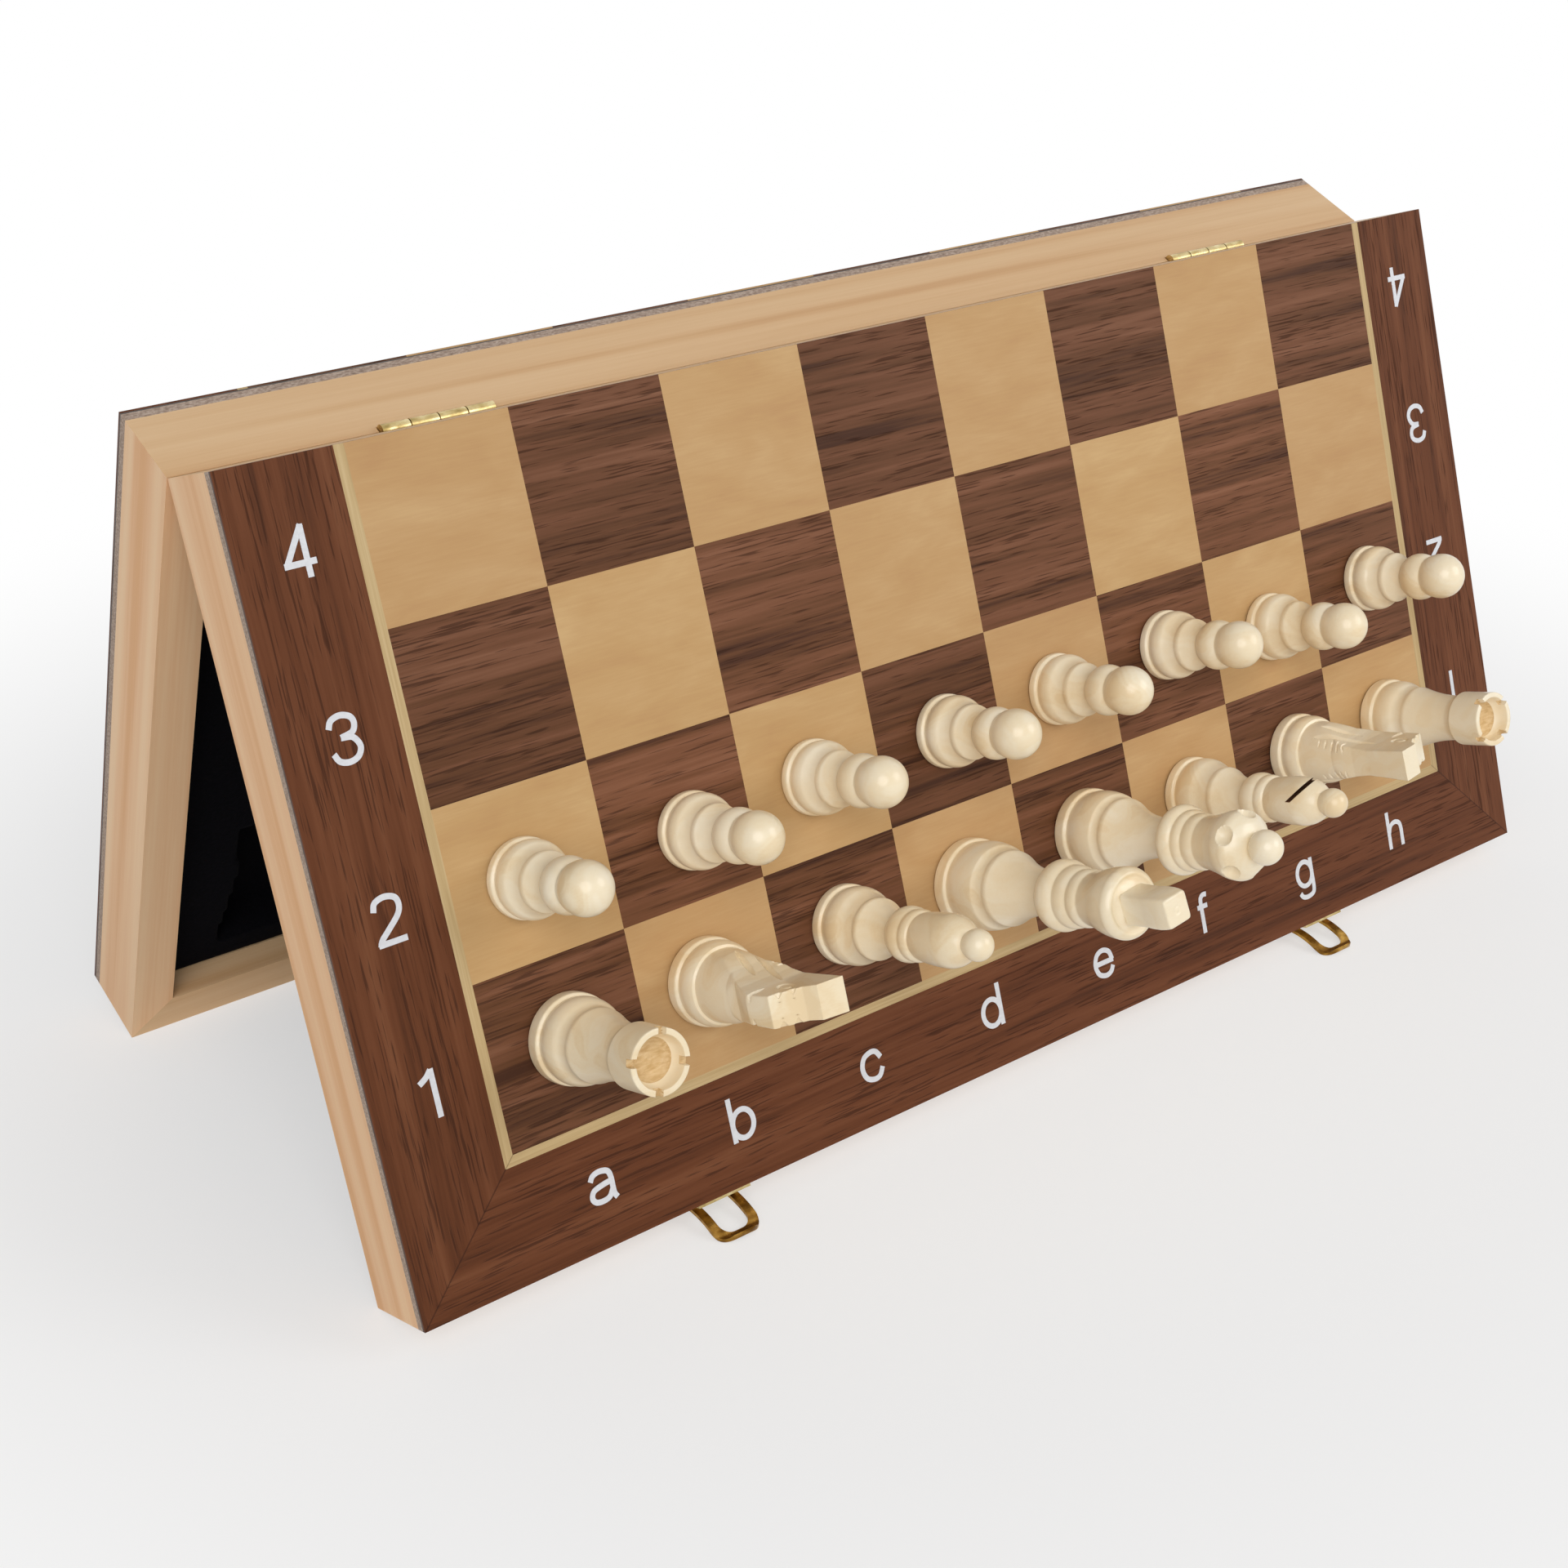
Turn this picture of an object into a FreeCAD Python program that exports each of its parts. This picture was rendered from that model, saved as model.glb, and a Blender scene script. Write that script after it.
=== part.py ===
import FreeCAD, Part
import math
import os
import re

# A folding magnetic chess board, stood open like a tent, with the white men on its front half.
# Each half is modelled lying on its own axes and is then placed. X runs along the fold, Y runs up
# the face to the fold, and Z runs from the rim to the playing face. The hinge axis is Y = Z = 0.

doc = FreeCAD.newDocument("FoldingChessBoard")
sheet = doc.addObject("Spreadsheet::Sheet", "Sizes")

SIZES = (
    # the playing face and the case
    ("square", "40", "side of one square"),
    ("inlay_width", "2.5", "pale strip round the squares"),
    ("border_width", "27.5", "walnut border outside the inlay"),
    ("veneer_thick", "0.6", "veneer of squares, inlay and border"),
    ("steel_thick", "0.4", "steel sheet that the magnets hold to"),
    ("core_thick", "2.2", "core panel"),
    ("rail_height", "20.4", "rail, from rim to core"),
    ("rail_thick", "11", "rail, from outside to inside"),
    ("fold_gap", "0.3", "gap between the halves, folded shut or laid flat"),
    ("tent_angle", "41", "angle between the halves as they stand"),
    ("half_gap", "=fold_gap / 2", "each half's share of the gap"),
    ("board_length", "=8 * square + 2 * (inlay_width + border_width)", "along the fold"),
    ("half_depth", "=4 * square + inlay_width + border_width", "from fold to latch edge"),
    ("latch_level", "=half_gap + half_depth", "hinge axis to latch edge"),
    ("core_level", "=half_gap + rail_height", "hinge axis to core"),
    ("steel_level", "=core_level + core_thick", "hinge axis to steel sheet"),
    ("veneer_level", "=steel_level + steel_thick", "hinge axis to underside of veneer"),
    ("face_level", "=veneer_level + veneer_thick", "hinge axis to playing face"),
    # the foam insert
    ("insert_recess", "7", "rim to insert"),
    ("insert_base", "3", "solid sheet under the pockets"),
    ("insert_gap", "0.3", "insert to rails"),
    ("pocket_room", "1.2", "room round a man in its pocket"),
    ("pocket_margin", "8", "rail to pocket"),
    ("pocket_ease", "3.6", "length over which a pocket widens to the head"),
    ("insert_length", "=board_length - 2 * (rail_thick + insert_gap)", "insert along the fold"),
    ("pocket_pitch", "=insert_length / 8.3", "from pocket to pocket along the fold"),
    ("insert_depth", "=half_depth - 2 * (rail_thick + insert_gap)", "insert across the fold"),
    ("insert_low", "=latch_level - rail_thick - insert_gap", "hinge axis to insert's latch edge"),
    ("pocket_layer", "=rail_height - insert_recess - insert_base", "sheet with the pockets"),
    ("insert_level", "=half_gap + insert_recess", "hinge axis to insert's open face"),
    # the two butt hinges
    ("hinge_offset", "125", "middle of the board to middle of a hinge"),
    ("hinge_length", "29", "hinge along the fold"),
    ("knuckle_gap", "0.3", "between neighbouring knuckles"),
    ("barrel_radius", "1.6", "outside of the knuckles"),
    ("barrel_room", "0.4", "rail's groove round the barrel"),
    ("pin_radius", "0.8", "hinge pin"),
    ("pin_room", "0.05", "pin in its knuckles"),
    ("leaf_thick", "1", "hinge leaf"),
    ("leaf_width", "9", "hinge axis to leaf's far edge"),
    ("leaf_room", "0.2", "leaf in its mortise"),
    ("screw_radius", "1", "hinge screw's shank"),
    ("screw_head", "1.9", "hinge screw's countersunk head"),
    ("screw_length", "8", "hinge screw"),
    ("screw_margin", "6", "hinge's end to its screw"),
    ("fastener_room", "0.05", "screw or nail in its hole"),
    ("screw_spacing", "=hinge_length - 2 * screw_margin", "between the two screws of a leaf"),
    ("knuckle_pitch", "=(hinge_length + knuckle_gap) / 4", "from knuckle to knuckle"),
    ("groove_radius", "=barrel_radius + barrel_room", "rail's groove"),
    ("screw_line", "=(leaf_width + groove_radius) / 2", "hinge axis to screws"),
    # the two clasps
    ("clasp_offset", "107", "middle of the two clasps to each"),
    ("clasp_shift", "-1.5", "middle of the board to middle of the two clasps"),
    ("clasp_plate_width", "15", "plate along the latch edge"),
    ("clasp_plate_thick", "1", "plate"),
    ("clasp_plate_height", "9.6", "plate across the latch edge"),
    ("loop_axis", "11", "rim to loop's pivot"),
    ("loop_lift", "2", "latch face to loop's pivot"),
    ("loop_width", "13", "outside of the loop"),
    ("loop_strip", "2.4", "width of the loop's strip"),
    ("loop_thick", "0.9", "thickness of the loop's strip"),
    ("loop_bow", "1.4", "rise of the arched legs"),
    ("loop_lip_radius", "2.6", "curl of the finger lip"),
    ("loop_lip_angle", "72", "slope of the finger lip's tip"),
    ("loop_lip_start", "0.6", "lip's start to window's end"),
    ("loop_corner", "5.4", "rounding of the loop's end"),
    ("loop_rest", "65.2", "loop's swing from the latch face's normal as it stands"),
    ("loop_room", "0.3", "loop beside the plate's knuckle"),
    ("eye_radius", "1.3", "rolled eyes of loop and plate"),
    ("clasp_pin_radius", "0.7", "clasp pin"),
    ("knob_radius", "1.4", "catch's knob"),
    ("knob_height", "3", "latch face to top of knob"),
    ("knob_offset", "3.2", "rim to knob"),
    ("nail_radius", "0.6", "clasp nail's shank"),
    ("nail_head", "1.2", "clasp nail's head"),
    ("nail_head_thick", "0.5", "clasp nail's head"),
    ("nail_length", "7", "clasp nail in the rail"),
    ("nail_margin", "2.2", "plate's edge to its nail"),
    ("eye_room", "0.9", "plate to loop's eyes"),
    ("latch_room", "0.3", "knob in the loop's window"),
    ("catch_start", "0.8", "rim to catch's plate"),
    ("catch_height", "11.8", "catch's plate across the latch edge"),
    ("catch_nail", "10.4", "rim to catch's nails"),
    ("left_clasp", "=clasp_shift - clasp_offset", "middle of the board to the left clasp"),
    ("right_clasp", "=clasp_shift + clasp_offset", "middle of the board to the right clasp"),
    ("nail_spacing", "=clasp_plate_width - 2 * nail_margin", "between the two nails of a plate"),
    ("loop_hole", "=loop_width - 2 * loop_strip", "between the loop's legs"),
    ("tongue_width", "=loop_hole - 2 * loop_room", "plate's knuckle between the legs"),
    ("tongue_length", "=eye_radius + eye_room", "plate to pivot"),
    ("knob_reach", "=loop_axis + fold_gap + knob_offset", "pivot to knob"),
    ("window_end", "=knob_reach + knob_radius + latch_room", "pivot to window's end"),
    ("loop_span", "=window_end - loop_lip_start", "pivot to the start of the lip"),
    ("loop_end", "=window_end + loop_strip + loop_thick / 2", "pivot to the loop's rounded end"),
    # the men, all kinds
    ("felt_thick", "0.4", "felt pad"),
    ("felt_inset", "0.5", "man's edge to felt's edge"),
    ("magnet_radius", "4", "magnet"),
    ("magnet_thick", "3", "magnet"),
    ("magnet_room", "0.1", "magnet in its bore"),
    ("foot_swell", "0.12", "rounding of the foot's edge"),
    ("foot_groove", "0.8", "depth of the groove over the foot"),
    ("groove_rise", "0.4", "height of the groove over the foot"),
    ("cup_swell", "0.6", "rounding of the cup"),
    ("cove_hollow", "0.25", "hollow between cup and bell"),
    ("bell_lip", "1.7", "height of the bell's rounded edge"),
    ("lip_swell", "0.15", "rounding of the bell's edge"),
    ("ring_swell", "0.45", "rounding of the rings over a collar"),
    ("ball_neck", "2.8", "radius under the ball of bishop and queen"),
    ("collar_swell", "1.3", "rounding of the collar of bishop, queen and king"),
    ("crown_hollow", "0.15", "hollow under the crown"),
    ("crown_swell", "0.15", "rounding of the crown"),
    ("rim_swell", "0.4", "rounding of the crown's rim"),
    # pawn
    ("pawn_base", "9.3", "radius of the foot"),
    ("pawn_plinth", "2.6", "height of the foot"),
    ("pawn_cup", "8.4", "radius at the cup's top"),
    ("pawn_cup_height", "7.3", "foot to cup's top"),
    ("pawn_edge", "6.8", "radius of the bell's edge"),
    ("pawn_edge_height", "12.2", "foot to bell's edge"),
    ("pawn_bell", "0.3", "hollow of the bell"),
    ("pawn_waist", "4.9", "radius under the collar"),
    ("pawn_waist_height", "16.6", "foot to waist"),
    ("pawn_collar", "1.45", "rounding of the collar"),
    ("pawn_neck", "5.2", "radius between collar and ball"),
    ("pawn_neck_height", "23.7", "foot to neck"),
    ("pawn_head", "6.2", "radius of the ball"),
    ("pawn_height", "33.8", "whole height"),
    # rook
    ("rook_base", "10.6", "radius of the foot"),
    ("rook_plinth", "4", "height of the foot"),
    ("rook_cup", "9.2", "radius at the cup's top"),
    ("rook_cup_height", "10", "foot to cup's top"),
    ("rook_edge", "8.35", "radius of the bell's edge"),
    ("rook_edge_height", "14.6", "foot to bell's edge"),
    ("rook_bell", "0.45", "hollow of the bell"),
    ("rook_waist", "6.3", "radius under the head"),
    ("rook_waist_height", "26.7", "foot to waist"),
    ("rook_head", "7.5", "radius of the head"),
    ("rook_head_start", "29.3", "foot to head"),
    ("rook_height", "39", "whole height"),
    ("rook_flare", "0.2", "hollow under the head"),
    ("rook_wall", "1.4", "wall of the hollow top"),
    ("rook_hollow", "3.2", "depth of the hollow top"),
    ("rook_notch_width", "1.8", "battlement notch"),
    ("rook_notch_depth", "2", "battlement notch"),
    # knight
    ("knight_base", "10.6", "radius of the foot"),
    ("knight_plinth", "3.6", "height of the foot"),
    ("knight_cup", "9.4", "radius at the cup's top"),
    ("knight_cup_height", "9", "foot to cup's top"),
    ("knight_ledge", "0.5", "cup to shoulders"),
    ("knight_shoulder", "8.6", "radius of the shoulders"),
    ("knight_shoulder_height", "12", "foot to shoulders"),
    ("knight_neck", "7.6", "radius of the neck"),
    ("knight_neck_height", "20", "foot to neck"),
    ("knight_throat", "6.7", "axis to throat"),
    ("knight_throat_height", "23.4", "foot to throat"),
    ("knight_head", "9.7", "axis to jaw"),
    ("knight_jaw_height", "31.2", "foot to jaw"),
    ("knight_muzzle", "8.4", "axis to top of the muzzle"),
    ("knight_muzzle_height", "38.5", "foot to top of the muzzle"),
    ("knight_brow", "1", "axis to brow"),
    ("knight_brow_height", "41.5", "foot to brow"),
    ("knight_poll", "1", "axis back to poll"),
    ("knight_poll_height", "44.3", "foot to poll"),
    ("knight_crest", "7.6", "axis back to crest"),
    ("knight_waist", "6.9", "axis back to nape"),
    ("knight_waist_height", "27", "foot to nape"),
    ("knight_nape_height", "32", "foot to top of the nape"),
    ("knight_height", "45.3", "whole height"),
    ("knight_blank", "9.8", "radius that the head is turned to"),
    ("knight_cove_height", "13.9", "foot to the side hollows"),
    ("knight_cove", "1.26", "depth of the side hollows"),
    ("knight_cheek", "3.6", "half width of the head"),
    ("knight_ear", "4.15", "half width at the crest"),
    # bishop
    ("bishop_base", "9.9", "radius of the foot"),
    ("bishop_plinth", "3", "height of the foot"),
    ("bishop_cup", "9.1", "radius at the cup's top"),
    ("bishop_cup_height", "8.9", "foot to cup's top"),
    ("bishop_edge", "7.5", "radius of the bell's edge"),
    ("bishop_edge_height", "14.9", "foot to bell's edge"),
    ("bishop_bell", "0.5", "hollow of the bell"),
    ("bishop_waist", "4.7", "radius under the collar"),
    ("bishop_waist_height", "22.6", "foot to waist"),
    ("bishop_collar", "6.1", "radius over the collar"),
    ("bishop_collar_top", "28.7", "foot to collar's top"),
    ("bishop_neck", "5.7", "radius over the ring"),
    ("bishop_neck_height", "31.5", "foot to ring's top"),
    ("bishop_head", "6.4", "radius of the mitre"),
    ("bishop_head_height", "40.5", "foot to widest of the mitre"),
    ("bishop_swell", "0.18", "rounding of the mitre's lower part"),
    ("mitre_end", "3.6", "radius at the mitre's top"),
    ("mitre_height", "47.5", "foot to mitre's top"),
    ("mitre_swell", "0.85", "rounding of the mitre's upper part"),
    ("ball_rise", "0.4", "mitre's top to the ball's neck"),
    ("bishop_ball", "3.8", "radius of the ball"),
    ("bishop_height", "54.4", "whole height"),
    ("bishop_slot", "1", "width of the saw cut"),
    ("bishop_slot_height", "36.9", "height of the saw's plane on the axis"),
    ("bishop_slot_angle", "55", "rise of the saw cut"),
    ("bishop_slot_start", "5.2", "axis to the bottom of the saw cut, along the cut"),
    # queen
    ("queen_base", "11.3", "radius of the foot"),
    ("queen_plinth", "3.7", "height of the foot"),
    ("queen_cup", "10.3", "radius at the cup's top"),
    ("queen_cup_height", "12.2", "foot to cup's top"),
    ("queen_edge", "9.3", "radius of the bell's edge"),
    ("queen_edge_height", "16", "foot to bell's edge"),
    ("queen_bell", "1.2", "hollow of the bell"),
    ("queen_waist", "5.1", "radius under the collar"),
    ("queen_waist_height", "31.6", "foot to waist"),
    ("queen_collar", "7.7", "radius at the collar's edges"),
    ("queen_collar_start", "33.8", "foot to collar's lower edge"),
    ("queen_collar_top", "38.6", "foot to collar's top edge"),
    ("queen_ring", "6.9", "radius over the first ring"),
    ("queen_ring_height", "41.3", "foot to first ring's top"),
    ("queen_neck", "6.6", "radius over the second ring"),
    ("queen_neck_height", "45", "foot to second ring's top"),
    ("queen_flare", "8.2", "radius of the crown's side"),
    ("queen_flare_height", "52.2", "foot to crown's side"),
    ("queen_head", "8.75", "radius of the coronet"),
    ("queen_head_height", "55.4", "foot to coronet's widest"),
    ("queen_rim", "7.6", "radius of the coronet's rim"),
    ("queen_rim_height", "58", "foot to coronet's rim"),
    ("dome_height", "60.3", "foot to the dome's top"),
    ("dome_swell", "0.5", "rounding of the dome"),
    ("queen_ball", "4.4", "radius of the ball"),
    ("queen_height", "67.8", "whole height"),
    ("queen_bite", "2.1", "radius of the coronet's bites"),
    ("bite_height", "57.6", "foot to middle of a bite"),
    ("bite_reach", "=0.75 * queen_head", "axis to the start of a bite"),
    # king
    ("king_base", "11.6", "radius of the foot"),
    ("king_plinth", "4", "height of the foot"),
    ("king_cup", "10.6", "radius at the cup's top"),
    ("king_cup_height", "13.2", "foot to cup's top"),
    ("king_edge", "9.4", "radius of the bell's edge"),
    ("king_edge_height", "17.7", "foot to bell's edge"),
    ("king_bell", "0.8", "hollow of the bell"),
    ("king_waist", "5.3", "radius under the collar"),
    ("king_waist_height", "31.4", "foot to waist"),
    ("king_collar", "7.6", "radius at the collar's edges"),
    ("king_collar_start", "33.4", "foot to collar's lower edge"),
    ("king_collar_top", "39.5", "foot to collar's top edge"),
    ("king_ring", "6.8", "radius over the first ring"),
    ("king_ring_height", "43.4", "foot to first ring's top"),
    ("king_neck", "6.5", "radius over the second ring"),
    ("king_neck_height", "46.8", "foot to second ring's top"),
    ("king_flare", "7.8", "radius of the crown's side"),
    ("king_flare_height", "52", "foot to crown's side"),
    ("king_head", "8.65", "radius of the crown"),
    ("king_head_height", "57", "foot to crown's widest"),
    ("king_rim", "7.8", "radius of the crown's rim"),
    ("king_rim_height", "59.4", "foot to crown's rim"),
    ("king_seat", "4.4", "radius of the finial's seat"),
    ("king_seat_height", "59.8", "foot to finial's seat"),
    ("king_finial", "8", "side of the finial's foot"),
    ("king_finial_waist", "7.4", "side of the finial's waist"),
    ("king_finial_top", "8.2", "side of the finial's widest"),
    ("king_finial_cap", "7.2", "side of the finial's flat top"),
    ("king_height", "74", "whole height"),
    ("finial_waist_share", "0.46", "finial's waist, in shares of its height"),
    ("finial_top_share", "0.71", "finial's widest, in shares of its height"),
    ("cap_reach", "=0.56 * king_finial_cap", "axis to the flat top's lowest corner"),
    # where the whole stands
    ("lean", "=tent_angle / 2", "each half from upright"),
    ("ridge_height", "=latch_level * cos(lean) - half_gap * sin(lean)", "floor to hinge axis"),
    ("king_rank", "3.51", "fold to the king, in squares"),
    ("king_row", "=half_gap + king_rank * square", "hinge axis to the king"),
    ("king_top", "=(face_level + king_height) * cos(lean)", "hinge axis to king's top, over the floor plan"),
    ("front_reach", "=(king_row + cap_reach) * sin(lean) + king_top", "ridge to king"),
    ("back_reach", "=latch_level * sin(lean) + face_level * cos(lean)", "ridge to back foot"),
    ("ridge_setback", "=(front_reach - back_reach) / 2", "middle of the whole to the ridge"),
)
ALIASES = {alias for alias, value, meaning in SIZES}
for row, (alias, value, meaning) in enumerate(SIZES, start=1):
    sheet.set(f"A{row}", meaning)
    sheet.set(f"B{row}", value)
    sheet.setAlias(f"B{row}", alias)
doc.recompute()

X, Y, Z = (FreeCAD.Vector(*unit) for unit in ((1, 0, 0), (0, 1, 0), (0, 0, 1)))
QUARTER_TURN = 90
HALF_TURN = 2 * QUARTER_TURN
FULL_TURN = 2 * HALF_TURN
SQUARES_ACROSS = 8
RANKS_PER_HALF = 4
KNUCKLES = 4
QUEEN_BITES = 5
BACK_ROW = ("rook", "knight", "bishop", "king", "queen", "bishop", "knight", "rook")
# Each man's place in squares, across from the a-file's edge and down from the fold, and its turn.
MEN = {
    "rook_a1": (0.5, 3.48, 73), "knight_b1": (1.452, 3.465, 180), "bishop_c1": (2.5, 3.455, 335),
    "king_d1": (3.505, 3.51, 7), "queen_e1": (4.545, 3.475, 38), "bishop_f1": (5.528, 3.5, 104),
    "knight_g1": (6.595, 3.5, 3), "rook_h1": (7.56, 3.5, 35),
    "pawn_a2": (0.445, 2.52, 0), "pawn_b2": (1.57, 2.58, 0), "pawn_c2": (2.485, 2.52, 0),
    "pawn_d2": (3.54, 2.52, 0), "pawn_e2": (4.5, 2.5, 0), "pawn_f2": (5.518, 2.46, 0),
    "pawn_g2": (6.525, 2.58, 0), "pawn_h2": (7.58, 2.48, 0),
}
nodes = []


def size(alias):
    """The value of one named size."""
    return float(sheet.get(alias))


def named(formula):
    """A formula of plain names, with each name tied to its cell."""
    tie = lambda word: "Sizes." + word[0] if word[0] in ALIASES else word[0]
    return re.sub(r"[a-z]\w*", tie, formula)


def bind(feature, **formulas):
    """Ties properties of a feature to formulas of the sheet's names."""
    for name, formula in formulas.items():
        feature.setExpression(name, named(formula))
    return feature


def at(feature, *corner):
    """Ties a feature's place to three formulas."""
    for axis, formula in zip("xyz", corner):
        feature.setExpression(".Placement.Base." + axis, named(formula))
    return feature


def box(name, corner, extent):
    """A box from the formulas of its low corner and of its extent."""
    solid = doc.addObject("Part::Box", name)
    bind(solid, Length=extent[0], Width=extent[1], Height=extent[2])
    return at(solid, *corner)


TURNS = {
    "x": FreeCAD.Rotation(Y, QUARTER_TURN),
    "y": FreeCAD.Rotation(X, -QUARTER_TURN),
    "z": FreeCAD.Rotation(),
}


def rod(name, along, start, radius, length):
    """A cylinder that runs along one axis from its starting point."""
    solid = bind(doc.addObject("Part::Cylinder", name), Radius=radius, Height=length)
    solid.Placement = FreeCAD.Placement(FreeCAD.Vector(), TURNS[along])
    return at(solid, *start)


def cone(name, along, start, radius, far_radius, length):
    """A cone that runs along one axis from its starting point."""
    solid = bind(doc.addObject("Part::Cone", name), Radius1=radius, Radius2=far_radius, Height=length)
    solid.Placement = FreeCAD.Placement(FreeCAD.Vector(), TURNS[along])
    return at(solid, *start)


def fuse(name, solids):
    """Several solids joined into one."""
    joined = doc.addObject("Part::MultiFuse", name)
    joined.Shapes = solids
    return joined


def group(name, solids):
    """Several solids kept apart in one feature."""
    gathered = doc.addObject("Part::Compound", name)
    gathered.Links = solids
    return gathered


def cut(name, solid, tools):
    """A solid less its tools."""
    result = doc.addObject("Part::Cut", name)
    result.Base = solid
    result.Tool = group(name + "_tools", tools)
    return result


def pair(name):
    """The formulas of two middles, one each side of the board's middle."""
    return {"left": "-" + name, "right": name}


def clasps(side):
    """The formulas of the two clasps' middles on one half. The back half is turned half round."""
    sign = "" if side == "front" else "-"
    return {hand: f"{sign}{hand}_clasp" for hand in ("left", "right")}


def beside(middle, spacing):
    """The formulas of two places, one each side of a middle."""
    return [f"{middle} {sign} {spacing} / 2" for sign in "-+"]


def node(label, place, *solids):
    """One sub-part of the board: its solids, its name and its place."""
    piece = group(label + "_node", list(solids))
    piece.Label = label
    piece.Placement = place
    nodes.append(piece)


def strip(name, side, inset, level, width, height, square_at_fold):
    """A bar along one side of a half, mitred where it meets its neighbours.

    Its outer edge lies `inset` inside the half's outline, and `width` is measured inwards.
    """
    across = f"board_length / 2 - ({inset})"
    down = f"latch_level - ({inset})"
    upright = side in ("left", "right")
    length = f"half_depth - ({inset})" if upright else f"board_length - 2 * ({inset})"
    starts = {
        "latch": (0, f"-({across})", f"-({down})"),
        "right": (QUARTER_TURN, across, f"-({down})"),
        "fold": (HALF_TURN, across, "-half_gap"),
        "left": (-QUARTER_TURN, f"-({across})", "-half_gap"),
    }
    turn, start_x, start_y = starts[side]
    start_cut = "0" if square_at_fold and side == "left" else width
    end_cut = "0" if square_at_fold and side == "right" else width
    bar = doc.addObject("Part::Wedge", name)
    bind(bar, Xmin="0", Ymin="0", Zmin="0", Z2min="0", X2min=start_cut)
    bind(bar, Xmax=length, Ymax=width, Zmax=height, Z2max=height, X2max=f"{length} - ({end_cut})")
    bar.Placement = FreeCAD.Placement(FreeCAD.Vector(), FreeCAD.Rotation(Z, turn))
    return at(bar, start_x, start_y, level)


def rounded_block(name, width, low_y, high_y, height, corner):
    """A block about Z with its two far upright edges rounded, from slabs and two posts."""
    centre_x, centre_y = f"({width}) / 2 - ({corner})", f"({high_y}) - ({corner})"
    full_depth, short_depth = f"({high_y}) - ({low_y})", f"({centre_y}) - ({low_y})"
    low_z = f"-({height}) / 2"
    parts = [
        box(name + "_wide", (f"-({width}) / 2", low_y, low_z), (width, short_depth, height)),
        box(name + "_deep", (f"-({centre_x})", low_y, low_z), (f"2 * ({centre_x})", full_depth, height)),
    ]
    for sign in ("-", ""):
        start = (f"{sign}({centre_x})", centre_y, low_z)
        parts.append(rod(f"{name}_post_{'left' if sign else 'right'}", "z", start, corner, height))
    return fuse(name, parts)


def extruded(name, base, along, length):
    """A flat outline carried half the length to each side of its plane."""
    prism = doc.addObject("Part::Extrusion", name)
    prism.Base = base
    prism.DirMode = "Custom"
    prism.Dir = along
    prism.Symmetric = True
    prism.Solid = True
    return bind(prism, LengthFwd=length)


def turned(name, outline):
    """A piece turned about Z.

    The outline is a list of (radius, height, bulge) from the foot to the top. The bulge is how far
    the arc that leads to a point swells out of the straight line to it, and is 0 for a straight line.
    """
    edges = []
    for (r0, z0, unused), (r1, z1, bulge) in zip(outline, outline[1:]):
        start, end = FreeCAD.Vector(r0, 0, z0), FreeCAD.Vector(r1, 0, z1)
        if bulge:
            swell = (end - start).cross(Y).normalize() * -bulge
            edges.append(Part.Arc(start, (start + end) / 2 + swell, end).toShape())
        else:
            edges.append(Part.LineSegment(start, end).toShape())
    first, last = edges[0].Vertexes[0].Point, edges[-1].Vertexes[-1].Point
    edges.append(Part.LineSegment(last, first).toShape())
    profile = doc.addObject("Part::Feature", name + "_outline")
    profile.Shape = Part.Face(Part.Wire(edges))
    solid = doc.addObject("Part::Revolution", name)
    solid.Source = profile
    solid.Axis = Z
    solid.Angle = FULL_TURN
    return solid


# Where the two halves stand. The back half is the front half turned half round.
ridge = FreeCAD.Vector(0, size("ridge_setback"), size("ridge_height"))
leaning = FreeCAD.Rotation(X, QUARTER_TURN - size("lean"))
PLACES = {
    "front": FreeCAD.Placement(ridge, leaning),
    "back": FreeCAD.Placement(ridge, FreeCAD.Rotation(Z, HALF_TURN) * leaning),
}


def panel(side):
    """The core, the steel sheet and the veneer of one half."""
    place = PLACES[side]
    corner = ("-board_length / 2", "-latch_level")
    extent = ("board_length", "half_depth")
    for layer in ("core", "steel"):
        sheet_box = box(f"{side}_{layer}_box", (*corner, layer + "_level"), (*extent, layer + "_thick"))
        node(f"{side}_{layer}", place, sheet_box)

    veneer = {"light": [], "dark": []}
    for column in range(SQUARES_ACROSS):
        for rank in range(RANKS_PER_HALF):
            tone = "dark" if (column + rank) % 2 else "light"
            low = (f"{column - SQUARES_ACROSS // 2} * square", f"-half_gap - {rank + 1} * square")
            extent = ("square", "square", "veneer_thick")
            veneer[tone].append(box(f"{side}_{tone}_{column}_{rank}", (*low, "veneer_level"), extent))
    for tone, tiles in veneer.items():
        node(f"{side}_{tone}_squares", place, *tiles)

    for trim, inset, width in (("border", "0", "border_width"), ("inlay", "border_width", "inlay_width")):
        strips = [
            strip(f"{side}_{trim}_{edge}", edge, inset, "veneer_level", width, "veneer_thick", True)
            for edge in ("left", "latch", "right")
        ]
        node(f"{side}_{trim}", place, *strips)


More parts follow.
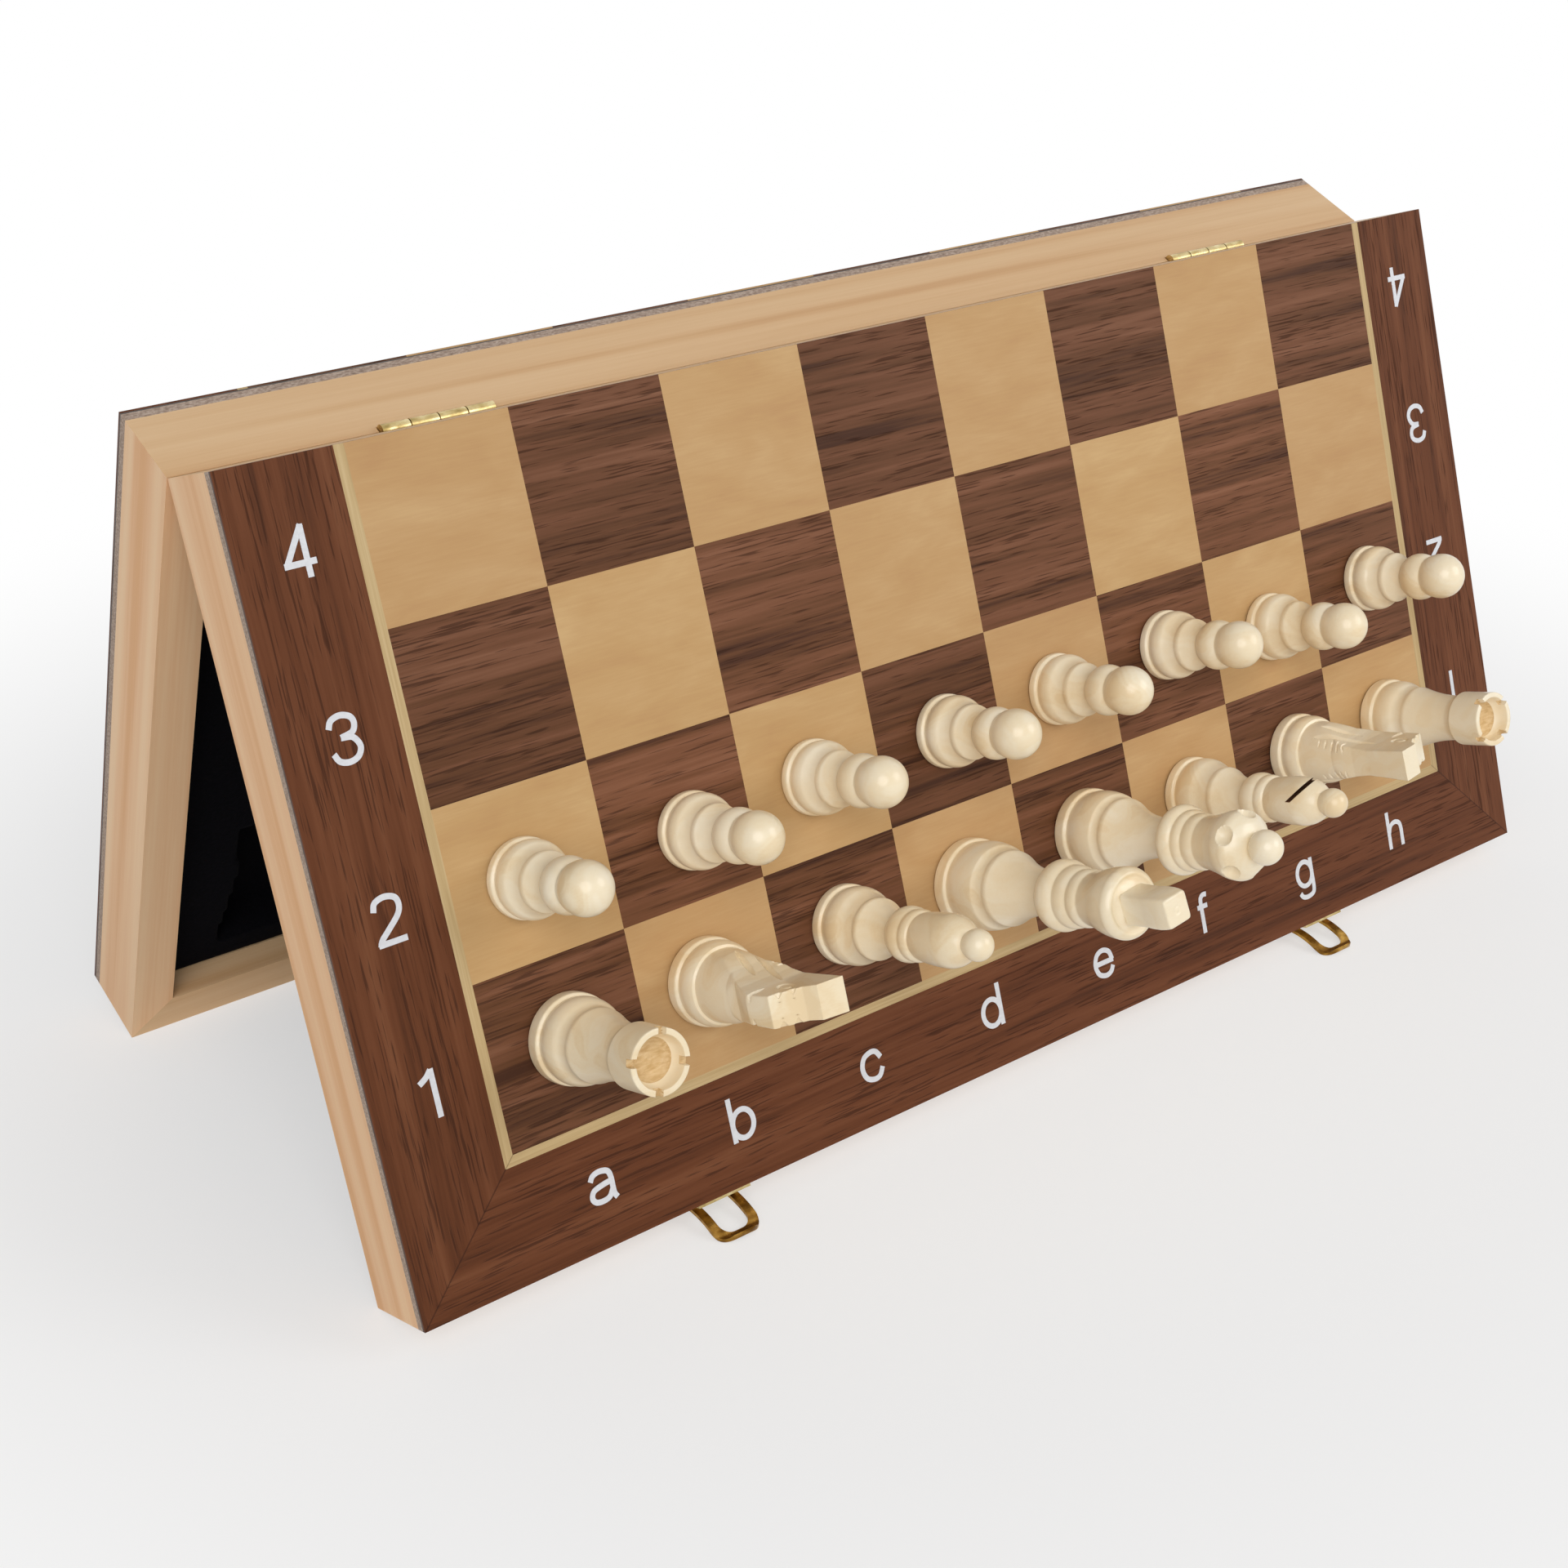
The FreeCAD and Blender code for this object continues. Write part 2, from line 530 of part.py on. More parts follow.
def fold_rail(side):
    """The rail at the fold, with mortises for the leaves, grooves for the barrels and screw holes."""
    tools = []
    for hand, middle in pair("hinge_offset").items():
        name = f"{side}_{hand}_hinge_seat"
        low_x = f"{middle} - hinge_length / 2 - leaf_room"
        room = ("hinge_length + 2 * leaf_room", "leaf_width + leaf_room", "leaf_thick + half_gap")
        tools.append(box(name, (low_x, "-leaf_width - leaf_room", "0"), room))
        tools.append(rod(name + "_groove", "x", (low_x, "0", "0"), "groove_radius", room[0]))
        for number, x in enumerate(beside(middle, "screw_spacing")):
            start = (x, "-screw_line", "half_gap")
            bore = ("screw_radius + fastener_room", "screw_length + fastener_room")
            tools.append(rod(f"{name}_pilot_{number}", "z", start, *bore))
    bar = strip(side + "_fold_bar", "fold", "0", "half_gap", "rail_thick", "rail_height", False)
    return cut(side + "_fold_rail_cut", bar, tools)


NAIL_LEVELS = {
    "front": "half_gap + loop_axis + tongue_length + clasp_plate_height / 2",
    "back": "half_gap + catch_nail",
}


def nail_places(side):
    """The formulas of the nails that hold the two clasp plates of a latch rail."""
    middles = clasps(side).values()
    return [(x, NAIL_LEVELS[side]) for middle in middles for x in beside(middle, "nail_spacing")]


def latch_rail(side):
    """The rail at the latch edge, with holes for the clasp nails."""
    holes = []
    for number, (x, z) in enumerate(nail_places(side)):
        start = (x, "-latch_level", z)
        bore = ("nail_radius + fastener_room", "nail_length + fastener_room")
        holes.append(rod(f"{side}_nail_hole_{number}", "y", start, *bore))
    bar = strip(side + "_latch_bar", "latch", "0", "half_gap", "rail_thick", "rail_height", False)
    return cut(side + "_latch_rail_cut", bar, holes)


def rails(side):
    """The four mitred rails of one half."""
    place = PLACES[side]
    node(side + "_fold_rail", place, fold_rail(side))
    node(side + "_latch_rail", place, latch_rail(side))
    for edge in ("left", "right"):
        bar = strip(f"{side}_{edge}_bar", edge, "0", "half_gap", "rail_thick", "rail_height", False)
        node(f"{side}_{edge}_rail", place, bar)


def hinge_leaves(side):
    """A half's leaves of the two hinges: a plate, every other knuckle, and countersunk holes."""
    screws = []
    for hand, middle in pair("hinge_offset").items():
        name = f"{side}_{hand}_leaf"
        low_x = f"{middle} - hinge_length / 2"
        extent = ("hinge_length", "leaf_width - groove_radius", "leaf_thick")
        parts = [box(name + "_plate", (low_x, "-leaf_width", "half_gap"), extent)]
        for knuckle in range(0, KNUCKLES, 2):
            start_x = f"{low_x} + {knuckle} * knuckle_pitch"
            reach = ("knuckle_pitch - knuckle_gap", "groove_radius", "leaf_thick")
            parts.append(box(f"{name}_tab_{knuckle}", (start_x, "-groove_radius", "half_gap"), reach))
            barrel = ((start_x, "0", "0"), "barrel_radius", reach[0])
            parts.append(rod(f"{name}_knuckle_{knuckle}", "x", *barrel))
        holes = [rod(name + "_bore", "x", (low_x, "0", "0"), "pin_radius + pin_room", "hinge_length")]
        for number, x in enumerate(beside(middle, "screw_spacing")):
            start = (x, "-screw_line", "half_gap")
            room = ("screw_head + fastener_room", "screw_radius + fastener_room", "leaf_thick")
            holes.append(cone(f"{name}_sink_{number}", "z", start, *room))
            head = cone(f"{name}_head_{number}", "z", start, "screw_head", "screw_radius", "leaf_thick")
            shank = rod(f"{name}_shank_{number}", "z", start, "screw_radius", "screw_length")
            screws.append(fuse(f"{name}_screw_{number}", [head, shank]))
        leaf = cut(name + "_cut", fuse(name + "_sheet", parts), holes)
        node(f"hinge_leaf_{side}_{hand}", PLACES[side], leaf)
    node(f"hinge_screws_{side}", PLACES[side], *screws)


def hinge_pins():
    """The pin of each hinge, carried by the front leaf."""
    for hand, middle in pair("hinge_offset").items():
        start = (f"{middle} - hinge_length / 2", "0", "0")
        pin = rod(f"hinge_{hand}_pin", "x", start, "pin_radius", "hinge_length")
        node(f"hinge_pin_{hand}", PLACES["front"], pin)


def clasp_nails(side):
    """The nails of a half's two clasp plates."""
    nails = []
    for number, (x, z) in enumerate(nail_places(side)):
        name = f"{side}_nail_{number}"
        under_head = "-latch_level - clasp_plate_thick"
        top = under_head + " - nail_head_thick"
        head = rod(name + "_head", "y", (x, top, z), "nail_head", "nail_head_thick")
        deep = "nail_length + clasp_plate_thick"
        shank = rod(name + "_shank", "y", (x, under_head, z), "nail_radius", deep)
        nails.append(fuse(name, [head, shank]))
    node(f"clasp_nails_{side}", PLACES[side], *nails)


def plate_holes(name, middle, level):
    """The two nail holes of a clasp plate."""
    holes = []
    for number, x in enumerate(beside(middle, "nail_spacing")):
        start = (x, "-latch_level - clasp_plate_thick", level)
        bore = ("nail_radius + fastener_room", "clasp_plate_thick")
        holes.append(rod(f"{name}_hole_{number}", "y", start, *bore))
    return holes


def clasp_plate(hand, middle):
    """The plate that carries a loop: a sheet, a narrower tongue and a rolled knuckle on the tongue."""
    name = f"clasp_{hand}"
    under = "-latch_level - clasp_plate_thick"
    sheet_low = (f"{middle} - clasp_plate_width / 2", under, "half_gap + loop_axis + tongue_length")
    sheet_extent = ("clasp_plate_width", "clasp_plate_thick", "clasp_plate_height")
    parts = [box(name + "_sheet", sheet_low, sheet_extent)]
    tongue_low = (f"{middle} - tongue_width / 2", under, "half_gap + loop_axis")
    tongue_extent = ("tongue_width", "clasp_plate_thick", "tongue_length")
    parts.append(box(name + "_tongue", tongue_low, tongue_extent))
    pivot = (tongue_low[0], "-latch_level - loop_lift", "half_gap + loop_axis")
    parts.append(rod(name + "_knuckle", "x", pivot, "eye_radius", "tongue_width"))
    holes = plate_holes(name, middle, NAIL_LEVELS["front"])
    holes.append(rod(name + "_bore", "x", pivot, "clasp_pin_radius + pin_room", "tongue_width"))
    plate = cut(name + "_plate", fuse(name + "_blank", parts), holes)
    node(f"clasp_plate_{hand}", PLACES["front"], plate)


def clasp_catch(hand, middle):
    """The plate and knob on the back half that a loop hooks over."""
    name = f"catch_{hand}"
    low_x, under = f"{middle} - clasp_plate_width / 2", "-latch_level - clasp_plate_thick"
    extent = ("clasp_plate_width", "clasp_plate_thick", "catch_height")
    plate = box(name + "_sheet", (low_x, under, "half_gap + catch_start"), extent)
    knob_start = (middle, "-latch_level - knob_height", "half_gap + knob_offset")
    knob = rod(name + "_knob", "y", knob_start, "knob_radius", "knob_height")
    holes = plate_holes(name, middle, NAIL_LEVELS["back"])
    catch = cut(name + "_cut", fuse(name + "_blank", [plate, knob]), holes)
    node(f"catch_{hand}", PLACES["back"], catch)


def loop_side_view():
    """The loop seen from its side: two arched legs that end in a finger lip, as one bent strip.

    The legs follow an arc over their chord along Y, and the lip is a smaller arc that curls up. Each
    edge of the strip runs half the thickness above or below this line.
    """
    span, bow, thick = size("loop_span"), size("loop_bow"), size("loop_thick")
    lip = size("loop_lip_radius")
    leg = (span ** 2 / 4 + bow ** 2) / (2 * bow)
    slope = math.asin(span / (2 * leg))
    tip = math.radians(size("loop_lip_angle"))

    def on_leg(side, turn):
        reach = leg + side * thick / 2
        return FreeCAD.Vector(0, span / 2 + reach * math.sin(turn), bow - leg + reach * math.cos(turn))

    def on_lip(side, turn):
        reach = lip - side * thick / 2
        y, z = span + lip * math.sin(slope), lip * math.cos(slope)
        return FreeCAD.Vector(0, y + reach * math.sin(turn), z - reach * math.cos(turn))

    def bend(place, side, start, end):
        return Part.Arc(place(side, start), place(side, (start + end) / 2), place(side, end)).toShape()

    edges = [
        bend(on_leg, -1, -slope, slope),
        bend(on_lip, -1, -slope, tip),
        Part.LineSegment(on_lip(-1, tip), on_lip(1, tip)).toShape(),
        bend(on_lip, 1, tip, -slope),
        bend(on_leg, 1, slope, -slope),
        Part.LineSegment(on_leg(1, -slope), on_leg(-1, -slope)).toShape(),
    ]
    return Part.Face(Part.Wire(edges))


def clasp_loop(hand):
    """A swinging loop: a bent strip with a window, two rolled eyes and a curled finger lip.

    It is drawn lying flat, with its pivot on X, its length along Y and its outer side up.
    """
    name = f"loop_{hand}"
    side_view = doc.addObject("Part::Feature", name + "_side_view")
    side_view.Shape = loop_side_view()
    sheet_metal = extruded(name + "_sheet", side_view, X, "loop_width")

    tall = "2 * loop_width"
    ring = ("loop_width", "-loop_width", "loop_end", tall, "loop_corner")
    blank = doc.addObject("Part::MultiCommon", name + "_blank")
    blank.Shapes = [sheet_metal, rounded_block(name + "_outline", *ring)]
    hole = ("loop_hole", "-loop_width", "window_end", tall, "loop_corner - loop_strip")
    window = rounded_block(name + "_window", *hole)
    parts = [blank]
    for sign, low_x in (("left", "-loop_width / 2"), ("right", "loop_width / 2 - loop_strip")):
        parts.append(rod(f"{name}_eye_{sign}", "x", (low_x, "0", "0"), "eye_radius", "loop_strip"))
    start = ("-loop_width / 2", "0", "0")
    bore = rod(name + "_bore", "x", start, "clasp_pin_radius + pin_room", "loop_width")
    loop = cut(name + "_cut", fuse(name + "_eyes", parts), [window, bore])

    pivot = FreeCAD.Vector(
        size(f"{hand}_clasp"),
        -size("latch_level") - size("loop_lift"),
        size("half_gap") + size("loop_axis"),
    )
    swing = FreeCAD.Rotation(Z, HALF_TURN) * FreeCAD.Rotation(X, size("loop_rest"))
    node(f"clasp_loop_{hand}", PLACES["front"] * FreeCAD.Placement(pivot, swing), loop)


def clasp_pins():
    """The pins that the two loops swing on."""
    pins = []
    for hand, middle in clasps("front").items():
        start = (f"{middle} - loop_width / 2", "-latch_level - loop_lift", "half_gap + loop_axis")
        pins.append(rod(f"clasp_{hand}_pin", "x", start, "clasp_pin_radius", "loop_width"))
    node("clasp_pins", PLACES["front"], *pins)


def sag(radius, start, end):
    """How far an arc of a given radius swells out of its chord."""
    return radius - math.sqrt(radius ** 2 - math.dist(start, end) ** 2 / 4)


def ball_outline(radius, neck, top, start):
    """A ball or an egg from its neck to its top, with its side upright where it is widest."""
    middle, rise = top - radius, radius - neck
    lower_radius = (rise ** 2 + (middle - start) ** 2) / (2 * rise)
    points = [(neck, start), (radius, middle), (0, top)]
    swells = [0, sag(lower_radius, *points[:2]), sag(radius, *points[1:])]
    return [(*point, swell) for point, swell in zip(points, swells)]


def cup_outline(kind):
    """The foot, the groove over it and the rounded cup that every man starts with."""
    base, plinth, felt = size(kind + "_base"), size(kind + "_plinth"), size("felt_thick")
    return [
        (0, felt, 0),
        (base, felt, 0),
        (base, plinth, size("foot_swell")),
        (base - size("foot_groove"), plinth + size("groove_rise"), 0),
        (size(kind + "_cup"), size(kind + "_cup_height"), size("cup_swell")),
    ]


def bell_outline(kind):
    """The cup, the cove, and the hollow bell that narrows from its rounded edge to the waist."""
    edge, edge_height = size(kind + "_edge"), size(kind + "_edge_height")
    return cup_outline(kind) + [
        (edge, edge_height - size("bell_lip"), -size("cove_hollow")),
        (edge, edge_height, size("lip_swell")),
        (size(kind + "_waist"), size(kind + "_waist_height"), -size(kind + "_bell")),
    ]


def pawn_body():
    """Pawn: bell, round collar and ball."""
    neck, start = size("pawn_neck"), size("pawn_neck_height")
    ball = ball_outline(size("pawn_head"), neck, size("pawn_height"), start)
    return turned("pawn_body", bell_outline("pawn") + [(neck, start, size("pawn_collar"))] + ball[1:])


def rook_body():
    """Rook: bell, straight head, hollow top and four notches."""
    head, top, floor = size("rook_head"), size("rook_height"), size("rook_height") - size("rook_hollow")
    inner = head - size("rook_wall")
    tower = [(head, size("rook_head_start"), -size("rook_flare")), (head, top, 0)]
    hollow = [(inner, top, 0), (inner, floor, 0), (0, floor, 0)]
    long, wide = "2 * rook_base", "rook_notch_width"
    notches = []
    for name, extent in (("across", (long, wide)), ("along", (wide, long))):
        corner = (f"-{extent[0]} / 2", f"-{extent[1]} / 2", "rook_height - rook_notch_depth")
        notches.append(box(f"rook_notch_{name}", corner, (*extent, "rook_hollow")))
    return cut("rook_body", turned("rook_turning", bell_outline("rook") + tower + hollow), notches)


def knight_side():
    """The knight's head seen from its side, its nose towards +X."""
    points = [
        (-size("knight_cup"), size("knight_cup_height")),
        (size("knight_cup"), size("knight_cup_height")),
        (size("knight_shoulder"), size("knight_shoulder_height")),
        (size("knight_throat"), size("knight_throat_height")),
        (size("knight_head"), size("knight_jaw_height")),
        (size("knight_muzzle"), size("knight_muzzle_height")),
        (size("knight_brow"), size("knight_brow_height")),
        (-size("knight_poll"), size("knight_poll_height")),
        (-size("knight_crest"), size("knight_height")),
        (-size("knight_waist"), size("knight_nape_height")),
        (-size("knight_waist"), size("knight_waist_height")),
        (-size("knight_neck"), size("knight_neck_height")),
        (-size("knight_shoulder"), size("knight_shoulder_height")),
    ]
    return Part.Face(Part.makePolygon([FreeCAD.Vector(x, 0, z) for x, z in points + points[:1]]))


def knight_front():
    """The knight seen from its front, with a hollow down each side and a narrow head."""
    foot, cove, jaw = size("knight_cup_height"), size("knight_cove_height"), size("knight_jaw_height")
    shoulder, cheek, top = size("knight_shoulder"), size("knight_cheek"), size("knight_height")

    def flank(sign):
        at_side = lambda y, z: FreeCAD.Vector(0, sign * y, z)
        low, start, end = at_side(size("knight_cup"), foot), at_side(shoulder, cove), at_side(cheek, jaw)
        across = (end - start).cross(X).normalize() * -sign * size("knight_cove")
        return [
            Part.LineSegment(low, start).toShape(),
            Part.Arc(start, (start + end) / 2 - across, end).toShape(),
            Part.LineSegment(end, at_side(size("knight_ear"), top)).toShape(),
        ]

    left, right = flank(-1), flank(1)
    tops = [side[-1].Vertexes[-1].Point for side in (left, right)]
    feet = [side[0].Vertexes[0].Point for side in (left, right)]
    closing = [Part.LineSegment(*points).toShape() for points in (tops, feet)]
    return Part.Face(Part.Wire(Part.__sortEdges__(left + right + closing)))


def knight_body():
    """Knight: a turned foot and a head carved from a turned blank, its nose towards +X."""
    cup, blank, top = size("knight_cup_height"), size("knight_blank"), size("knight_height")
    turning = [
        (0, cup, 0),
        (size("knight_cup") - size("knight_ledge"), cup, 0),
        (size("knight_shoulder"), size("knight_shoulder_height"), 0),
        (size("knight_neck"), size("knight_neck_height"), 0),
        (blank, size("knight_jaw_height"), 0),
        (blank, top, 0),
        (0, top, 0),
    ]
    views = []
    for name, face, along in (("side", knight_side(), Y), ("front", knight_front(), X)):
        view = doc.addObject("Part::Feature", f"knight_{name}_view")
        view.Shape = face
        views.append(extruded(f"knight_{name}_prism", view, along, "3 * knight_base"))
    head = doc.addObject("Part::MultiCommon", "knight_carving")
    head.Shapes = [turned("knight_blank", turning), *views]
    foot = turned("knight_foot", cup_outline("knight") + [(0, cup + size("knight_ledge") / 2, 0)])
    return fuse("knight_body", [foot, head])


def bishop_body():
    """Bishop: bell, collar, ring, mitre with a slanted saw cut, and ball."""
    mitre = [
        (size("bishop_collar"), size("bishop_collar_top"), size("collar_swell")),
        (size("bishop_neck"), size("bishop_neck_height"), size("ring_swell")),
        (size("bishop_head"), size("bishop_head_height"), size("bishop_swell")),
        (size("mitre_end"), size("mitre_height"), size("mitre_swell")),
    ]
    ball_start = size("mitre_height") + size("ball_rise")
    ball = ball_outline(size("bishop_ball"), size("ball_neck"), size("bishop_height"), ball_start)
    saw = box("bishop_saw", ("bishop_slot_start", "-bishop_base", "-bishop_slot / 2"),
              ("2 * bishop_base", "2 * bishop_base", "bishop_slot"))
    rise = FreeCAD.Rotation(Y, -size("bishop_slot_angle"))
    saw_kerf = group("bishop_kerf", [saw])
    saw_kerf.Placement = FreeCAD.Placement(FreeCAD.Vector(0, 0, size("bishop_slot_height")), rise)
    return cut("bishop_body", turned("bishop_turning", bell_outline("bishop") + mitre + ball), [saw_kerf])


def crown_outline(kind):
    """The collar, the two rings and the flared crown of a tall man, over its waist."""
    collar = size(kind + "_collar")
    return [
        (collar, size(kind + "_collar_start"), 0),
        (collar, size(kind + "_collar_top"), size("collar_swell")),
        (size(kind + "_ring"), size(kind + "_ring_height"), size("ring_swell")),
        (size(kind + "_neck"), size(kind + "_neck_height"), size("ring_swell")),
        (size(kind + "_flare"), size(kind + "_flare_height"), -size("crown_hollow")),
        (size(kind + "_head"), size(kind + "_head_height"), size("crown_swell")),
        (size(kind + "_rim"), size(kind + "_rim_height"), size("rim_swell")),
    ]


def queen_body():
    """Queen: bell, collar, coronet with round bites, dome and ball."""
    ball = ball_outline(size("queen_ball"), size("ball_neck"), size("queen_height"), size("dome_height"))
    dome = (size("ball_neck"), size("dome_height"), size("dome_swell"))
    bites = []
    for number in range(QUEEN_BITES):
        angle = (number + 0.5) * FULL_TURN / QUEEN_BITES
        start = (f"bite_reach * cos({angle})", f"bite_reach * sin({angle})", "bite_height")
        bite = rod(f"queen_bite_{number}", "x", start, "queen_bite", "queen_head")
        bite.Placement.Rotation = FreeCAD.Rotation(Z, angle) * TURNS["x"]
        bites.append(bite)
    outline = bell_outline("queen") + crown_outline("queen") + [dome] + ball[1:]
    return cut("queen_body", turned("queen_turning", outline), bites)


def king_body():
    """King: bell, collar, crown and a squared finial with a waist."""
    seat, top = size("king_seat_height"), size("king_height")
    seat_outline = [(size("king_seat"), seat, 0), (0, seat, 0)]
    sections = []
    shares = (0, size("finial_waist_share"), size("finial_top_share"), 1)
    sides = [size("king_finial" + part) for part in ("", "_waist", "_top", "_cap")]
    for number, (share, side) in enumerate(zip(shares, sides)):
        section = doc.addObject("Part::Feature", f"king_finial_section_{number}")
        corner = FreeCAD.Vector(side / 2, side / 2, seat + share * (top - seat))
        turns = range(0, FULL_TURN + 1, QUARTER_TURN)
        section.Shape = Part.makePolygon([FreeCAD.Rotation(Z, turn).multVec(corner) for turn in turns])
        sections.append(section)
    finial = doc.addObject("Part::Loft", "king_finial")
    finial.Sections = sections
    finial.Solid = True
    finial.Ruled = True
    outline = bell_outline("king") + crown_outline("king") + seat_outline
    return fuse("king_body", [turned("king_turning", outline), finial])


def man(kind, body):
    """A man's three solids: the bored wooden body, the magnet in its bore and the felt pad."""
    start = ("0", "0", "felt_thick")
    bore = rod(kind + "_bore", "z", start, "magnet_radius + magnet_room", "magnet_thick + magnet_room")
    wood = cut(kind + "_wood", body, [bore])
    magnet = rod(kind + "_magnet", "z", start, "magnet_radius", "magnet_thick")
    felt = rod(kind + "_felt", "z", ("0", "0", "0"), f"{kind}_base - felt_inset", "felt_thick")
    return [wood, magnet, felt]


def white_men():
    """The white men on the front half, each at its place in squares from the a-file edge and the fold."""
    bodies = {
        "pawn": pawn_body(), "rook": rook_body(), "knight": knight_body(),
        "bishop": bishop_body(), "queen": queen_body(), "king": king_body(),
    }
    solids = {kind: man(kind, body) for kind, body in bodies.items()}
    for label, (across, down, turn) in MEN.items():
        kind = label.split("_")[0]
        x = (across - SQUARES_ACROSS / 2) * size("square")
        y = -size("half_gap") - down * size("square")
        foot = FreeCAD.Placement(FreeCAD.Vector(x, y, size("face_level")), FreeCAD.Rotation(Z, turn))
        node(label, PLACES["front"] * foot, *solids[kind])


def pocket(name, kind, x, foot_y, up):
    """A man-shaped prism, lying with its foot at one height and its head up or down the half."""
    room, base, waist = size("pocket_room"), size(kind + "_base"), size(kind + "_waist")
    waist_height, top, head = size(kind + "_waist_height"), size(kind + "_height"), size(kind + "_head")
    half = [
        (base + room, -room),
        (base + room, size(kind + "_plinth") + room),
        (size(kind + "_cup") + room, size(kind + "_cup_height")),
        (waist + room, waist_height),
        (head + room, waist_height + size("pocket_ease")),
        (head + room, top + room),
    ]
    ring = half + [(-across, along) for across, along in half[::-1]]
    level = size("insert_level")
    points = [FreeCAD.Vector(x + across, foot_y + up * along, level) for across, along in ring + ring[:1]]
    outline = doc.addObject("Part::Feature", name + "_outline")
    outline.Shape = Part.Face(Part.makePolygon(points))
    prism = doc.addObject("Part::Extrusion", name)
    prism.Base = outline
    prism.DirMode = "Custom"
    prism.Dir = Z
    prism.Solid = True
    return bind(prism, LengthFwd="pocket_layer")


def insert(side):
    """The foam insert of one half: a base sheet and a layer with a pocket for each man."""
    corner, extent = ("-insert_length / 2", "-insert_low"), ("insert_length", "insert_depth")
    base = box(side + "_insert_sheet", (*corner, "core_level - insert_base"), (*extent, "insert_base"))
    node(side + "_insert_base", PLACES[side], base)
    layer = box(side + "_insert_layer", (*corner, "insert_level"), (*extent, "pocket_layer"))
    low = -size("insert_low") + size("pocket_margin") + size("pocket_room")
    high = low + size("insert_depth") - 2 * (size("pocket_margin") + size("pocket_room"))
    pockets = []
    for column, kind in enumerate(BACK_ROW):
        x = (column - (SQUARES_ACROSS - 1) / 2) * size("pocket_pitch")
        pockets.append(pocket(f"{side}_pocket_{kind}_{column}", kind, x, low, 1))
        pockets.append(pocket(f"{side}_pocket_pawn_{column}", "pawn", x, high, -1))
    node(side + "_insert_pockets", PLACES[side], cut(side + "_insert_cut", layer, pockets))


doc.recompute()
for half in ("front", "back"):
    panel(half)
    rails(half)
    hinge_leaves(half)
    clasp_nails(half)
    insert(half)
hinge_pins()
clasp_pins()
for hand, middle in clasps("front").items():
    clasp_plate(hand, middle)
    clasp_loop(hand)
for hand, middle in clasps("back").items():
    clasp_catch(hand, middle)
white_men()
doc.recompute()

for piece in doc.Objects:
    if "Invalid" in piece.State or "Error" in piece.State:
        raise RuntimeError(f"{piece.Name} did not build: {piece.State}")
for piece in nodes:
    if piece.Shape.isNull() or not piece.Shape.isValid():
        raise RuntimeError(f"{piece.Label} has no valid shape")

os.makedirs("parts", exist_ok=True)
for piece in nodes:
    piece.Shape.exportStep(f"parts/{piece.Label}.step")
print(len(nodes), "sub-parts")
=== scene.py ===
"""Dresses the folding chess board: veneer, rails, brass fittings, foam lining, lettering and white men.

Lengths are millimetres in the frame of one half, unless a name says otherwise: X runs along the fold,
Y runs up the face to the fold, and Z runs from the rim to the playing face. The hinge axis is
Y = Z = 0. row_points() carries such points to the row frame, in metres.
"""
import math

import bpy
import numpy as np
from mathutils import Matrix, Vector


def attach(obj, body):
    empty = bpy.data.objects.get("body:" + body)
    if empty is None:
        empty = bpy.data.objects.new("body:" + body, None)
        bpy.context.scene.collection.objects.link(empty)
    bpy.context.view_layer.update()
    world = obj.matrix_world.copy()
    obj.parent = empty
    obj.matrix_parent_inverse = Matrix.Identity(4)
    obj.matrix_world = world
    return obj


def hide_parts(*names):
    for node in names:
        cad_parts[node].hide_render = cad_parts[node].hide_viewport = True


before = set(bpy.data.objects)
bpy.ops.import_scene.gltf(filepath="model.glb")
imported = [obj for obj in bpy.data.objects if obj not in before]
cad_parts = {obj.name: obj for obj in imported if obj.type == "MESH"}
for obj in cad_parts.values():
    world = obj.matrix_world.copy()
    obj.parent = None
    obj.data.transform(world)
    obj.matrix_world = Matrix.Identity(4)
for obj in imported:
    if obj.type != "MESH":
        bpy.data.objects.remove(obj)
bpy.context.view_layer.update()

MM = 0.001
LEAN = math.radians(20.5)
RIDGE = (0.0, 26.6777, 178.0557)
SQUARE = 40.0
HALF_GAP = 0.15
LATCH = 190.15
HALF_LENGTH = 190.0
FACE = 23.75
FILES = "abcdefgh"
HALVES = ("front", "back")


def row_points(points, half="front"):
    """Points of a half as points of the row frame, in metres.

    The half leans by LEAN about the ridge, and the back half is the front half turned half round.
    """
    x, y, z = np.moveaxis(np.asarray(points, dtype=float), -1, 0)
    turn = 1.0 if half == "front" else -1.0
    forward = y * math.sin(LEAN) - z * math.cos(LEAN)
    up = y * math.cos(LEAN) + z * math.sin(LEAN)
    return np.stack([turn * x, RIDGE[1] + turn * forward, RIDGE[2] + up], axis=-1) * MM


def new_object(name, data):
    """A new object at the origin, linked to the scene."""
    made = bpy.data.objects.new(name, data)
    bpy.context.collection.objects.link(made)
    return made


def piece(name, vertices, faces, materials, body, face_materials=None, crease=None):
    """A new smooth piece with its place in its mesh, riding on a body.

    Where a crease is given, an edge is sharp if its faces turn by more than that angle.
    """
    mesh = bpy.data.meshes.new(name)
    mesh.from_pydata(np.asarray(vertices).tolist(), [], faces)
    mesh.polygons.foreach_set("use_smooth", np.ones(len(faces), dtype=bool))
    if face_materials is not None:
        mesh.polygons.foreach_set("material_index", np.asarray(face_materials, dtype=np.int32))
    for material in materials:
        mesh.materials.append(material)
    if crease is not None:
        mesh.set_sharp_from_angle(angle=crease)
    made = new_object(name, mesh)
    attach(made, body)
    return made


# Materials

